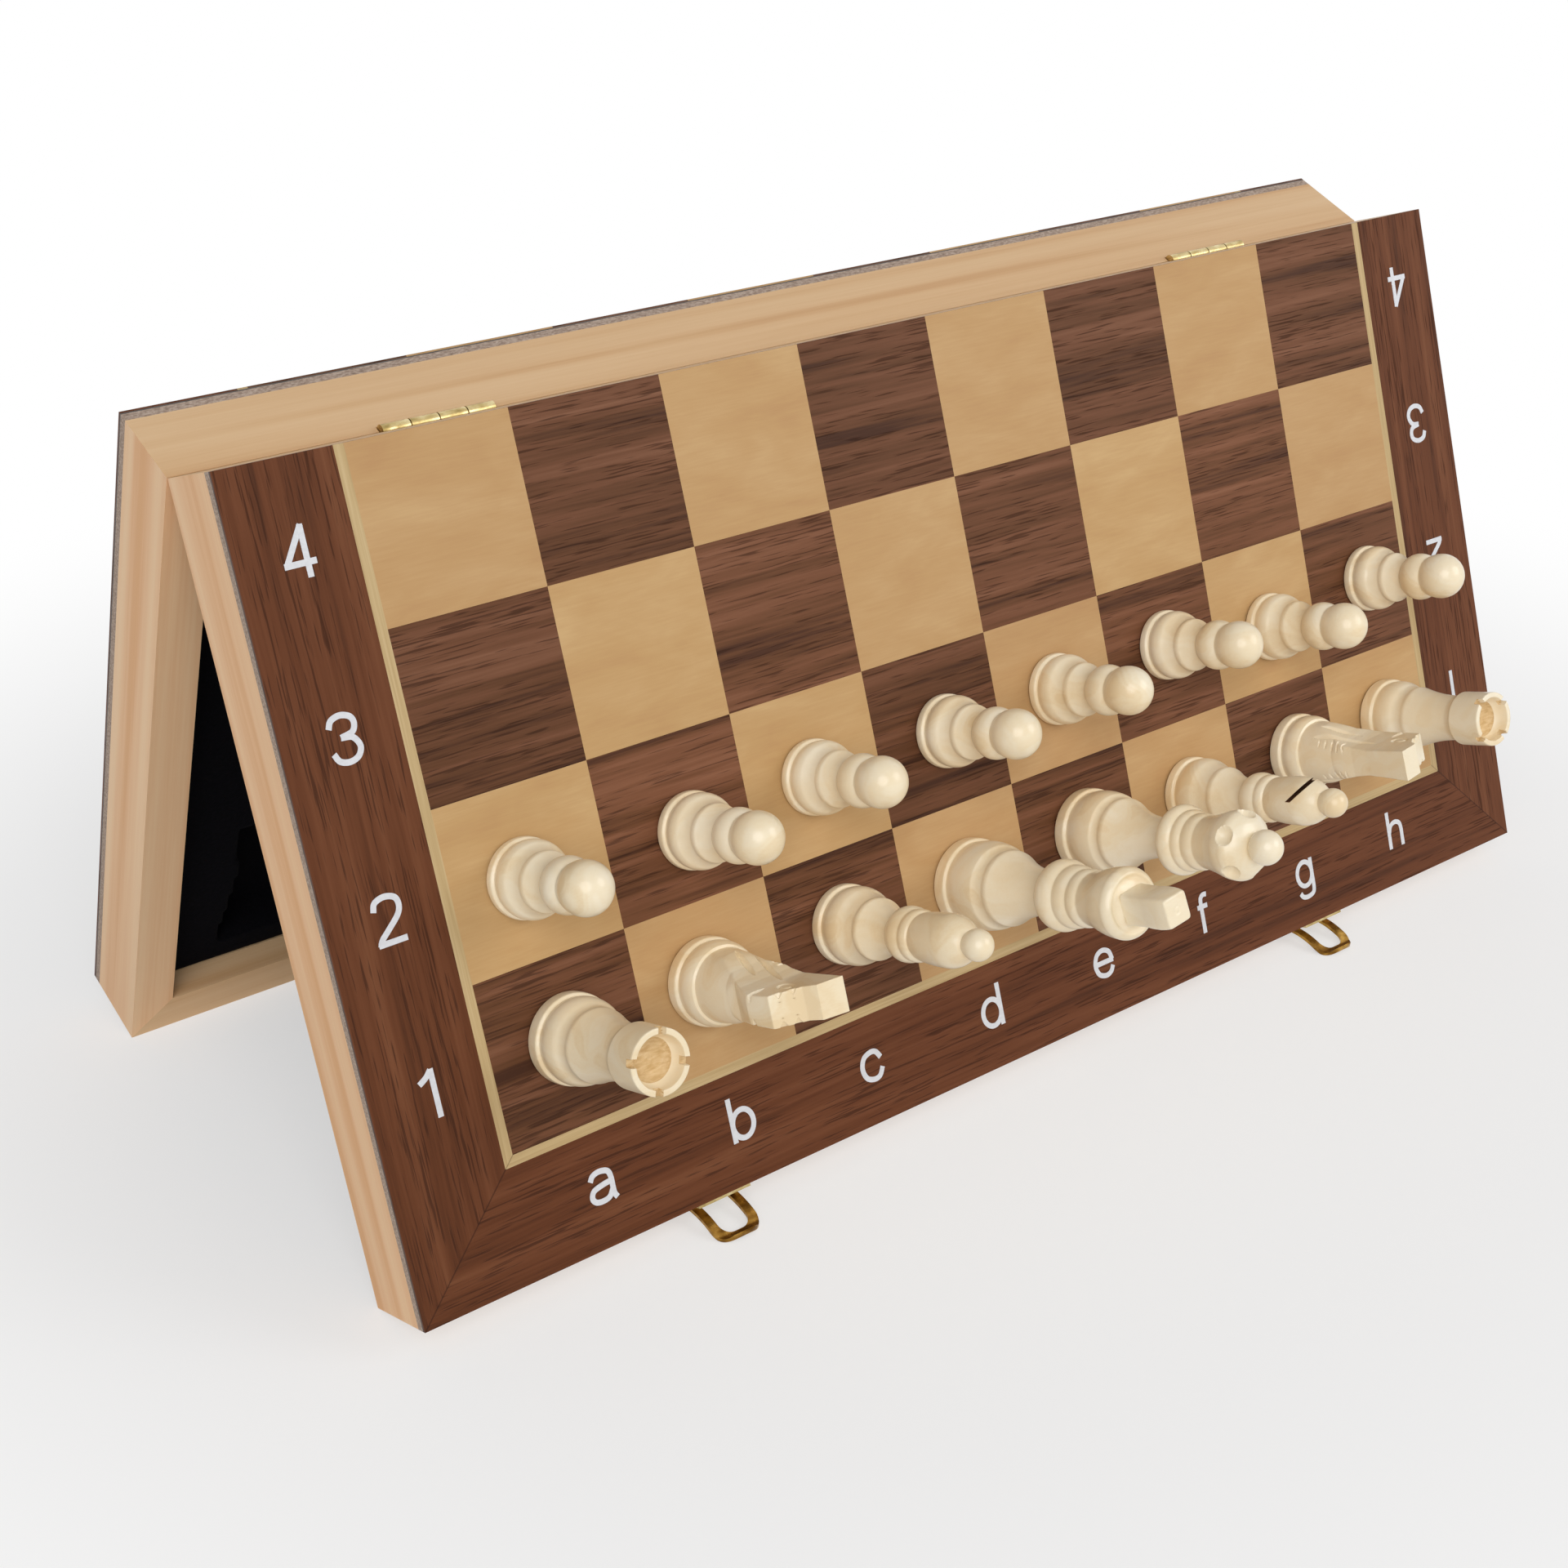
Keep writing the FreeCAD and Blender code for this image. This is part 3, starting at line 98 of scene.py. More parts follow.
def linear(code):
    """An sRGB hex colour as linear red, green and blue, with full cover."""
    parts = np.array([int(code[place:place + 2], 16) for place in (1, 3, 5)]) / 255
    curve = np.where(parts <= 0.04045, parts / 12.92, ((parts + 0.055) / 1.055) ** 2.4)
    return (*curve.tolist(), 1.0)


def add(tree, kind, links=None, stops=None, **settings):
    """Adds one node with its settings and its colour stops, and gives its outputs.

    An input is given as a value or as the socket that feeds it.
    """
    made = tree.nodes.new("ShaderNode" + kind)
    for name, value in settings.items():
        setattr(made, name, value)
    for place, (position, colour) in enumerate(stops or ()):
        elements = made.color_ramp.elements
        stop = elements[place] if place < 2 else elements.new(position)
        stop.position = position
        stop.color = linear(colour)
    for socket, value in (links or {}).items():
        entry = made.inputs[socket]
        if isinstance(value, bpy.types.NodeSocket):
            tree.links.new(value, entry)
        else:
            entry.default_value = value
    return made.outputs


# A Mix node's two entries and its result, for colours and for vectors, which share their names.
FIRST, SECOND, MIXED = 6, 7, 2
FIRST_PLACE, SECOND_PLACE, MIXED_PLACE = 4, 5, 1
BLACK, WHITE = "#000000", "#ffffff"


def finish(name, **sockets):
    """A new material, its node tree and its shader, with constants set on the shader's own sockets."""
    material = bpy.data.materials.new(name)
    material.use_nodes = True
    tree = material.node_tree
    shader = tree.nodes["Principled BSDF"]
    for socket, value in sockets.items():
        shader.inputs[socket.replace("_", " ")].default_value = value
    return material, tree, shader


def feed(tree, shader, **sources):
    """Links the outputs of patterns to the shader's inputs of the given names."""
    for socket, source in sources.items():
        tree.links.new(source, shader.inputs[socket.replace("_", " ")])


def half_place(tree, half):
    """Object coordinates as millimetres in the frame of one half."""
    turn = 0.0 if half == "front" else math.pi
    links = {
        "Vector": add(tree, "TexCoord")["Object"],
        "Location": [value * MM for value in RIDGE],
        "Rotation": (math.pi / 2 - LEAN, 0.0, turn),
        "Scale": (MM, MM, MM),
    }
    return add(tree, "Mapping", links, vector_type="TEXTURE")["Vector"]


def stretched(tree, place, grain_length, grain_width, **settings):
    """Noise drawn out along X, with features of the given length and width in millimetres."""
    scale = (1 / grain_length, 1 / grain_width, 1 / grain_width)
    along = add(tree, "VectorMath", {0: place, 1: scale}, operation="MULTIPLY")["Vector"]
    links = {"Vector": along, "Scale": 1.0, **settings}
    return add(tree, "TexNoise", links)["Fac"]


# The squares are cut from all over a leaf of veneer of this size.
VENEER_LEAF = 900.0


def shuffled(tree, place):
    """Shifts each square's figure to a part of the veneer of its own.

    The place moves by a random vector per square. The second value is a random number per square.
    """
    links = {0: place, 1: (1 / SQUARE, 1 / SQUARE, 0.0), 2: (0.0, HALF_GAP / SQUARE, 0.0)}
    cell = add(tree, "VectorMath", links, operation="MULTIPLY_ADD")["Vector"]
    number = add(tree, "VectorMath", {0: cell}, operation="FLOOR")["Vector"]
    chance = add(tree, "TexWhiteNoise", {"Vector": number}, noise_dimensions="3D")
    links = {0: chance["Color"], 1: (VENEER_LEAF,) * 3, 2: place}
    moved = add(tree, "VectorMath", links, operation="MULTIPLY_ADD")["Vector"]
    return moved, chance["Value"]


def along_y(tree, place):
    """The place with X and Y exchanged, which turns the grain along Y."""
    parts = add(tree, "SeparateXYZ", {0: place})
    links = {"X": parts["Y"], "Y": parts["X"], "Z": parts["Z"]}
    return add(tree, "CombineXYZ", links)[0]


def mitred(tree, place):
    """Turns the grain along Y on a side strip, and gives the distance from the mitre in millimetres.

    A point belongs to a side strip where it is nearer to the end of the half than to the latch edge.
    """
    parts = add(tree, "SeparateXYZ", {0: place})
    across = add(tree, "Math", {0: parts["X"]}, operation="ABSOLUTE")[0]
    reach = add(tree, "Math", {0: across, 1: parts["Y"]}, operation="ADD")[0]
    links = {0: reach, 1: LATCH - HALF_LENGTH}
    past = add(tree, "Math", links, operation="ADD")[0]
    is_side = add(tree, "Math", {0: past, 1: 0.0}, operation="GREATER_THAN")[0]
    links = {"Factor": is_side, FIRST_PLACE: place, SECOND_PLACE: along_y(tree, place)}
    chosen = add(tree, "Mix", links, data_type="VECTOR")[MIXED_PLACE]
    seam = add(tree, "Math", {0: past}, operation="ABSOLUTE")[0]
    return chosen, seam


def glue_line(tree, colour, seam, start, end, tone):
    """Darkens a colour at the mitre: from the start distance to the end distance the tone fades away."""
    links = {"Value": seam, "From Min": start, "From Max": end, "To Min": 0.6, "To Max": 0.0}
    gap = add(tree, "MapRange", links)[0]
    links = {"Factor": gap, FIRST: colour, SECOND: linear(tone)}
    return add(tree, "Mix", links, data_type="RGBA")[MIXED]


# Pores, fibres, flecks, nap and rolling marks are finer on the real board. They are drawn as coarse as they
# need to be to show.
WALNUT_BORDER = ("#4f2c19", "#613720", "#6b3f27", "#784b31")
WALNUT_SQUARES = ("#492c1d", "#644029", "#754c35", "#885d45")
MAPLE = ("#bb9263", "#c09968", "#c39d6d", "#c9a575")


def walnut_veneer(half, mitres):
    """Sliced walnut under satin lacquer: warm brown, long soft streaks and short dark open pores."""
    name = f"walnut_{'border' if mitres else 'squares'}_{half}"
    material, tree, shader = finish(name, IOR=1.5, Specular_IOR_Level=0.12)
    place = half_place(tree, half)
    if mitres:
        place, seam = mitred(tree, place)
    else:
        place, chance = shuffled(tree, place)
    streak = stretched(tree, place, 170, 5, Detail=3.0, Roughness=0.55, Distortion=0.5)
    fibre = stretched(tree, place, 34, 0.9, Detail=3.0, Roughness=0.6)
    pore = stretched(tree, place, 12, 0.5, Detail=1.0, Roughness=0.5)
    cloud = stretched(tree, place, 60, 7, Detail=2.0)
    links = {0: fibre, 1: 0.35, 2: streak}
    figure = add(tree, "Math", links, operation="MULTIPLY_ADD")[0]
    tones = WALNUT_BORDER if mitres else WALNUT_SQUARES
    stops = list(zip((0.48, 0.6, 0.74, 0.92), tones))
    colour = add(tree, "ValToRGB", {0: figure}, stops)["Color"]
    links = {"Value": cloud, "From Min": 0.36, "From Max": 0.64, "To Min": 0.07, "To Max": -0.03}
    crowding = add(tree, "MapRange", links)[0]
    open_pore = add(tree, "Math", {0: pore, 1: crowding}, operation="SUBTRACT")[0]
    stops = [(0.56, BLACK), (0.65, WHITE)]
    hole = add(tree, "ValToRGB", {0: open_pore}, stops)["Color"]
    darkness = add(tree, "Math", {0: hole, 1: 0.55}, operation="MULTIPLY")[0]
    links = {"Factor": darkness, FIRST: colour, SECOND: linear("#2b170f")}
    colour = add(tree, "Mix", links, data_type="RGBA")[MIXED]
    if mitres:
        colour = glue_line(tree, colour, seam, 0.1, 0.35, "#2a1710")
    else:
        level = add(tree, "MapRange", {"Value": chance, "To Min": 0.86, "To Max": 1.14})[0]
        colour = add(tree, "HueSaturation", {"Value": level, "Color": colour})["Color"]
    gloss = add(tree, "MapRange", {"Value": hole, "To Min": 0.46, "To Max": 0.7})[0]
    depth = add(tree, "Math", {0: hole, 1: -1.0}, operation="MULTIPLY")[0]
    relief = add(tree, "Bump", {"Height": depth, "Strength": 0.35, "Distance": 0.08 * MM})[0]
    feed(tree, shader, Base_Color=colour, Roughness=gloss, Normal=relief)
    return material


def maple_veneer(half):
    """Sliced maple under satin lacquer: even tan, with a faint cloudy figure and fine short fibres."""
    material, tree, shader = finish(f"maple_squares_{half}", IOR=1.5, Specular_IOR_Level=0.2)
    place, chance = shuffled(tree, half_place(tree, half))
    cloud = stretched(tree, place, 30, 11, Detail=3.0, Roughness=0.55, Distortion=0.6)
    fibre = stretched(tree, place, 9, 0.6, Detail=3.0, Roughness=0.6)
    links = {0: fibre, 1: 0.4, 2: cloud}
    mottle = add(tree, "Math", links, operation="MULTIPLY_ADD")[0]
    stops = list(zip((0.45, 0.65, 0.78, 0.98), MAPLE))
    colour = add(tree, "ValToRGB", {0: mottle}, stops)["Color"]
    level = add(tree, "MapRange", {"Value": chance, "To Min": 0.97, "To Max": 1.03})[0]
    shift = add(tree, "MapRange", {"Value": chance, "To Min": 0.498, "To Max": 0.502})[0]
    links = {"Hue": shift, "Value": level, "Color": colour}
    colour = add(tree, "HueSaturation", links)["Color"]
    gloss = add(tree, "MapRange", {"Value": fibre, "To Min": 0.42, "To Max": 0.56})[0]
    feed(tree, shader, Base_Color=colour, Roughness=gloss)
    return material


def birch_inlay(half):
    """Thin birch strip under the same lacquer: paler than the squares, with fine straight fibres."""
    material, tree, shader = finish(f"birch_inlay_{half}", IOR=1.5, Roughness=0.5, Specular_IOR_Level=0.25)
    place, seam = mitred(tree, half_place(tree, half))
    fibre = stretched(tree, place, 30, 0.6, Detail=3.0, Roughness=0.6)
    stops = [(0.3, "#b5996b"), (0.5, "#c0a577"), (0.72, "#cab185")]
    colour = add(tree, "ValToRGB", {0: fibre}, stops)["Color"]
    colour = glue_line(tree, colour, seam, 0.08, 0.25, "#6b5233")
    feed(tree, shader, Base_Color=colour)
    return material


# The upright tones are a lighter, more orange copy of the level ones: painted light on the end rails, whose
# outer faces catch the lamp.
PINE_LEVEL = ("#d4a87a", "#deb78a", "#e4c095", "#eacaa2")
PINE_UPRIGHT_LIT = ("#e6b07c", "#efc092", "#f4cb9f", "#f8d6ae")


def pine_rail(half, upright):
    """Planed pine under thin lacquer: pale, with soft orange growth bands along the rail; the upright rails
    get a lighter copy of the tones as painted light.
    """
    name = f"pine_{'upright' if upright else 'level'}_{half}"
    material, tree, shader = finish(name, IOR=1.5, Specular_IOR_Level=0.3)
    place = half_place(tree, half)
    if upright:
        place = along_y(tree, place)
    band = stretched(tree, place, 420, 7, Detail=1.0, Roughness=0.5, Distortion=0.3)
    fibre = stretched(tree, place, 40, 0.8, Detail=3.0, Roughness=0.6)
    links = {0: fibre, 1: 0.3, 2: band}
    figure = add(tree, "Math", links, operation="MULTIPLY_ADD")[0]
    # Upright rails take the lighter tones, which are painted light on the end faces.
    stops = list(zip((0.45, 0.6, 0.75, 0.95), PINE_UPRIGHT_LIT if upright else PINE_LEVEL))
    colour = add(tree, "ValToRGB", {0: figure}, stops)["Color"]
    gloss = add(tree, "MapRange", {"Value": fibre, "To Min": 0.42, "To Max": 0.56})[0]
    relief = add(tree, "Bump", {"Height": fibre, "Strength": 0.12, "Distance": 0.1 * MM})[0]
    feed(tree, shader, Base_Color=colour, Roughness=gloss, Normal=relief)
    return material


def fibreboard_core(half):
    """Raw sawn edge of fibreboard: matt grey-brown with fine light and dark specks."""
    material, tree, shader = finish(f"fibreboard_core_{half}", IOR=1.45, Roughness=0.85)
    place = half_place(tree, half)
    speck = stretched(tree, place, 1.1, 0.5, Detail=3.0, Roughness=0.7)
    stops = [(0.3, "#867365"), (0.48, "#a99485"), (0.62, "#bfac9d"), (0.8, "#d1c2b4")]
    colour = add(tree, "ValToRGB", {0: speck}, stops)["Color"]
    relief = add(tree, "Bump", {"Height": speck, "Strength": 0.4, "Distance": 0.15 * MM})[0]
    feed(tree, shader, Base_Color=colour, Normal=relief)
    return material


def mild_steel(half):
    """Cut edge of cold-rolled steel sheet: dark grey, with fine marks along the cut."""
    material, tree, shader = finish(f"mild_steel_{half}", Metallic=1.0)
    mark = stretched(tree, half_place(tree, half), 9, 0.15, Detail=2.0)
    stops = [(0.3, "#4a4744"), (0.7, "#6e6a66")]
    colour = add(tree, "ValToRGB", {0: mark}, stops)["Color"]
    gloss = add(tree, "MapRange", {"Value": mark, "To Min": 0.4, "To Max": 0.65})[0]
    feed(tree, shader, Base_Color=colour, Roughness=gloss)
    return material


def plated_brass(name, half, tones, gloss_range):
    """Pressed sheet with a brass plating: warm yellow metal, fine rolling marks and duller patches."""
    material, tree, shader = finish(f"{name}_{half}", Metallic=1.0)
    place = half_place(tree, half)
    mark = stretched(tree, place, 6, 0.25, Detail=3.0, Roughness=0.6)
    patch = stretched(tree, place, 3.5, 2.2, Detail=3.0)
    stops = list(zip((0.32, 0.5, 0.7), tones))
    colour = add(tree, "ValToRGB", {0: patch}, stops)["Color"]
    low, high = gloss_range
    links = {"Value": patch, "From Min": 0.3, "From Max": 0.7, "To Min": high, "To Max": low}
    gloss = add(tree, "MapRange", links)[0]
    relief = add(tree, "Bump", {"Height": mark, "Strength": 0.1, "Distance": 0.03 * MM})[0]
    feed(tree, shader, Base_Color=colour, Roughness=gloss, Normal=relief)
    return material


BOXWOOD = ("#ecd3a8", "#f3e0bc", "#f5e5c5", "#f8ebd0")


def lacquered_boxwood():
    """Turned pale boxwood under clear lacquer: even ivory, faint growth contours and soft highlights."""
    material, tree, shader = finish(
        "lacquered_boxwood", IOR=1.5, Specular_IOR_Level=0.4,
        Coat_Weight=0.6, Coat_Roughness=0.13, Coat_IOR=1.5)
    place = half_place(tree, "front")
    ring = stretched(tree, place, 26, 12, Detail=1.0, Distortion=0.8)
    phase = add(tree, "Math", {0: ring, 1: 60.0}, operation="MULTIPLY")[0]
    contour = add(tree, "Math", {0: phase}, operation="SINE")[0]
    fleck = stretched(tree, place, 1.6, 0.5, Detail=3.0, Roughness=0.6)
    links = {0: contour, 1: 0.035, 2: ring}
    figure = add(tree, "Math", links, operation="MULTIPLY_ADD")[0]
    links = {0: fleck, 1: 0.2, 2: figure}
    figure = add(tree, "Math", links, operation="MULTIPLY_ADD")[0]
    stops = list(zip((0.38, 0.55, 0.68, 0.85), BOXWOOD))
    colour = add(tree, "ValToRGB", {0: figure}, stops)["Color"]
    gloss = add(tree, "MapRange", {"Value": fleck, "To Min": 0.36, "To Max": 0.54})[0]
    relief = add(tree, "Bump", {"Height": fleck, "Strength": 0.12, "Distance": 0.1 * MM})[0]
    feed(tree, shader, Base_Color=colour, Roughness=gloss, Normal=relief, Coat_Normal=relief)
    return material


def bare_boxwood(name, tones):
    """Cut boxwood that the lacquer left dull, with short fibres in the given tones: tan for the bare wood,
    dark brown where painted shade fills the bishop's kerf.
    """
    material, tree, shader = finish(name, IOR=1.5, Roughness=0.6)
    fibre = stretched(tree, half_place(tree, "front"), 3.0, 0.8, Detail=3.0, Roughness=0.6, Distortion=0.3)
    stops = list(zip((0.35, 0.5, 0.68), tones))
    colour = add(tree, "ValToRGB", {0: fibre}, stops)["Color"]
    feed(tree, shader, Base_Color=colour)
    return material


def green_felt():
    """Pressed wool felt: matt dark green with a soft nap."""
    material, tree, shader = finish(
        "green_felt", IOR=1.45, Roughness=0.95, Sheen_Weight=0.3, Sheen_Roughness=0.6)
    nap = stretched(tree, half_place(tree, "front"), 0.5, 0.5, Detail=3.0, Roughness=0.7)
    stops = [(0.3, "#16291d"), (0.7, "#2c4a36")]
    colour = add(tree, "ValToRGB", {0: nap}, stops)["Color"]
    relief = add(tree, "Bump", {"Height": nap, "Strength": 0.5, "Distance": 0.15 * MM})[0]
    feed(tree, shader, Base_Color=colour, Normal=relief)
    return material


def black_foam(half):
    """Fine-celled polyethylene foam: matt blue-black, with a faint cell grain."""
    material, tree, shader = finish(f"black_foam_{half}", IOR=1.45, Roughness=1.0, Specular_IOR_Level=0.1)
    cell = stretched(tree, half_place(tree, half), 0.7, 0.7, Detail=2.0, Roughness=0.6)
    stops = [(0.3, "#050507"), (0.7, "#0c0b10")]
    colour = add(tree, "ValToRGB", {0: cell}, stops)["Color"]
    relief = add(tree, "Bump", {"Height": cell, "Strength": 0.5, "Distance": 0.2 * MM})[0]
    feed(tree, shader, Base_Color=colour, Normal=relief)
    return material


def silver_print(half):
    """Silver-grey printing ink on lacquer: pale, slightly glossy, with a faint mottle."""
    material, tree, shader = finish(f"silver_print_{half}", IOR=1.5, Roughness=0.45)
    mottle = stretched(tree, half_place(tree, half), 1.2, 0.8, Detail=2.0)
    stops = [(0.3, "#d4d5d9"), (0.7, "#dedfe3")]
    colour = add(tree, "ValToRGB", {0: mottle}, stops)["Color"]
    feed(tree, shader, Base_Color=colour)
    return material


def paint(node, material):
    """Gives a CAD node its material."""
    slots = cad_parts[node].data.materials
    slots.clear()
    slots.append(material)


PALE_BRASS = ("#9a8450", "#c2ab75", "#dfcf9f")
DARK_BRASS = ("#6d4a1c", "#9c7433", "#c49a4e")

for half in HALVES:
    hinge_brass = plated_brass("hinge_brass", half, PALE_BRASS, (0.22, 0.4))
    clasp_brass = plated_brass("clasp_brass", half, DARK_BRASS, (0.22, 0.42))
    # The upright pine is the level pine made lighter as painted light on the end rails.
    level_pine, lit_upright_pine = (pine_rail(half, upright) for upright in (False, True))
    finishes = {
        "core": fibreboard_core(half),
        "steel": mild_steel(half),
        "light_squares": maple_veneer(half),
        "dark_squares": walnut_veneer(half, mitres=False),
        "border": walnut_veneer(half, mitres=True),
        "inlay": birch_inlay(half),
        "fold_rail": level_pine,
        "latch_rail": level_pine,
        "left_rail": lit_upright_pine,
        "right_rail": lit_upright_pine,
    }
    for part, material in finishes.items():
        paint(f"{half}_{part}", material)
    paint(f"hinge_screws_{half}", hinge_brass)
    paint(f"clasp_nails_{half}", clasp_brass)
    for hand in ("left", "right"):
        paint(f"hinge_leaf_{half}_{hand}", hinge_brass)
        if half == "front":
            paint(f"hinge_pin_{hand}", hinge_brass)
            paint(f"clasp_plate_{hand}", hinge_brass)
            paint(f"clasp_loop_{hand}", clasp_brass)
        else:
            paint(f"catch_{hand}", clasp_brass)
    if half == "front":
        paint("clasp_pins", clasp_brass)

boxwood = lacquered_boxwood()
cut_boxwood = bare_boxwood("cut_boxwood", ("#c8a46e", "#d6b684", "#dfc395"))
# The kerf's cut faces are dark brown: painted shade in the narrow slot, darker than the bare wood's own
# tan.
kerf_painted_shade = bare_boxwood("kerf_painted_shade", ("#4a2d1a", "#633f27", "#7c5436"))
felt = green_felt()


# White men

FELT_THICK = 0.4
MAN_CREASE = math.radians(28)
# Each man's place in squares, across from the a-file's edge and down from the fold, and its turn.
MEN = {
    "rook_a1": (0.5, 3.48, 73), "knight_b1": (1.452, 3.465, 180), "bishop_c1": (2.5, 3.455, 335),
    "king_d1": (3.505, 3.51, 7), "queen_e1": (4.545, 3.475, 38), "bishop_f1": (5.528, 3.5, 104),
    "knight_g1": (6.595, 3.5, 3), "rook_h1": (7.56, 3.5, 35),
    "pawn_a2": (0.445, 2.52, 0), "pawn_b2": (1.57, 2.58, 0), "pawn_c2": (2.485, 2.52, 0),
    "pawn_d2": (3.54, 2.52, 0), "pawn_e2": (4.5, 2.5, 0), "pawn_f2": (5.518, 2.46, 0),
    "pawn_g2": (6.525, 2.58, 0), "pawn_h2": (7.58, 2.48, 0),
}


def cup(base, plinth, cup_radius, cup_height):
    """Felt pad, rounded plinth, groove and swelling cup, as (radius, height, bulge) outwards and up."""
    pad, edge, groove = base - 0.5, base - 0.15, base - 0.8
    return [
        (0, 0, 0), (pad, 0, 0), (pad, FELT_THICK, 0), (edge, FELT_THICK, 0), (base, FELT_THICK + 0.3, 0.06),
        (base, plinth - 0.5, 0.06), (base - 0.3, plinth, 0.12), (groove, plinth + 0.2, 0),
        (groove, plinth + 0.45, 0), (cup_radius, cup_height, 0.6),
    ]


def bell(edge, edge_height, waist, waist_height, hollow):
    """The cove over the cup, the bell's rounded edge, and the hollow bell up to the waist."""
    return [(edge, edge_height - 1.7, -0.25), (edge, edge_height, 0.15), (waist, waist_height, -hollow)]


def ball(radius, neck, start, top):
    """A ball or egg from its neck to its top, upright where it is widest."""
    middle, rise = top - radius, radius - neck
    lower = (rise ** 2 + (middle - start) ** 2) / (2 * rise)
    chord = math.hypot(rise, middle - start)
    swell = lower - math.sqrt(lower ** 2 - chord ** 2 / 4)
    cap = radius - math.sqrt(radius ** 2 / 2)
    return [(neck, start, 0), (radius, middle, swell), (0, top, cap)]


def crown(collar, ring, neck, flare, head, rim):
    """The collar, the two rings and the flared crown of a tall man, each as (radius, height)."""
    edge, start, top = collar
    return [
        (edge, start, 0), (edge, top, 1.3), (*ring, 0.45), (*neck, 0.45),
        (*flare, -0.15), (*head, 0.15), (*rim, 0.4),
    ]


ROOK_TOP, ROOK_HEAD, ROOK_WALL = 39.0, 7.5, 1.4
ROOK_NOTCH, ROOK_NOTCH_FLOOR, ROOK_BOWL = 0.9, 37.0, 33.8
# How soft a notch's walls are, how much of its height is cut, how far the bowl's bare floor reaches up, and
# the rows of points between the rim's highest one and the bowl.
NOTCH_SOFT, NOTCH_CUT, BOWL_FLOOR, RIM_ROWS = 0.15, 0.97, 1.3, 8
BISHOP_NECK_TOP, MITRE_TOP = 32.0, 47.5
MITRE_TIP, MITRE_ROW = 3.4, 0.3
KERF_HEIGHT, KERF_RISE, KERF_START, KERF_BOTTOM, KERF_HALF = 38.3, 1.43, 1.0, 3.0, 0.8
# Rows of points at the kerf's walls and in its middle, in half widths.
KERF_ROWS = np.array([-1.06, -1.0, -0.94, 0.0, 0.94, 1.0, 1.06])
KERF_INSIDE = 0.97
TILT_REACH, TILT_PASSES = 1.12, 12
QUEEN_BITES, BITE_REACH, BITE_RADIUS, BITE_HEIGHT, BITE_INNER = 5, 9.0, 2.5, 57.4, 5
KING_SEAT, KING_TOP, FINIAL_POWER = 59.8, 74.0, 9.0

OUTLINES = {
    "pawn": cup(9.3, 2.6, 8.4, 7.3) + bell(6.8, 12.2, 4.9, 16.6, 0.3) + [(5.2, 23.7, 1.45)]
    + ball(6.2, 5.2, 23.7, 33.8)[1:],
    "rook": cup(10.6, 4.0, 9.2, 10.0) + bell(8.35, 14.6, 6.3, 26.7, 0.45) + [
        (ROOK_HEAD - 0.2, 29.2, -0.2), (ROOK_HEAD, 29.6, 0.08), (ROOK_HEAD, ROOK_TOP - 0.2, 0),
        (ROOK_HEAD - 0.2, ROOK_TOP, 0.06), (ROOK_HEAD - ROOK_WALL, ROOK_TOP, 0),
        (ROOK_HEAD - ROOK_WALL - 0.3, ROOK_TOP - 2.0, 0), (3.2, ROOK_BOWL, -0.5), (1.0, ROOK_BOWL, 0),
        (0.8, ROOK_BOWL + 0.25, 0), (0.55, ROOK_BOWL + 0.25, 0), (0.4, ROOK_BOWL, 0), (0, ROOK_BOWL, 0),
    ],
    "bishop": cup(9.9, 3.0, 9.1, 8.9) + bell(7.5, 14.9, 4.7, 22.6, 0.5) + [
        (6.1, 28.7, 1.3), (5.85, 31.3, 0.35), (5.45, 31.45, 0), (5.45, 31.7, 0), (5.75, BISHOP_NECK_TOP, 0),
        (6.4, 40.5, 0.18), (3.6, MITRE_TOP, 0.85),
    ] + ball(3.8, 2.8, 47.9, 54.4),
    "queen": cup(11.3, 3.7, 10.3, 12.2) + bell(9.3, 16.0, 5.1, 31.6, 1.2)
    + crown((7.7, 33.8, 38.6), (6.9, 41.3), (6.6, 45.0), (8.2, 52.2), (8.75, 55.4), (7.6, 58.0))
    + [(2.8, 60.3, 0.5)] + ball(4.4, 2.8, 60.3, 67.8)[1:],
    "king": cup(11.6, 4.0, 10.6, 13.2) + bell(9.4, 17.7, 5.3, 31.4, 0.8)
    + crown((7.6, 33.4, 39.5), (6.8, 43.4), (6.5, 46.8), (7.8, 52.0), (8.65, 57.0), (7.8, 59.4)) + [
        (7.1, 59.7, 0.08), (6.4, 59.3, 0), (5.0, KING_SEAT - 0.3, -0.1), (4.0, KING_SEAT + 0.1, 0),
        (3.85, 66.3, -0.03), (4.0, 69.9, 0.06), (3.65, KING_TOP - 0.5, 0.1), (3.2, KING_TOP, 0.15),
        (1.1, KING_TOP, 0), (0.9, KING_TOP - 0.18, 0), (0.65, KING_TOP - 0.18, 0), (0.45, KING_TOP, 0),
        (0, KING_TOP, 0),
    ],
}


ARC_POINTS, OUTLINE_SPACING = 49, 0.22


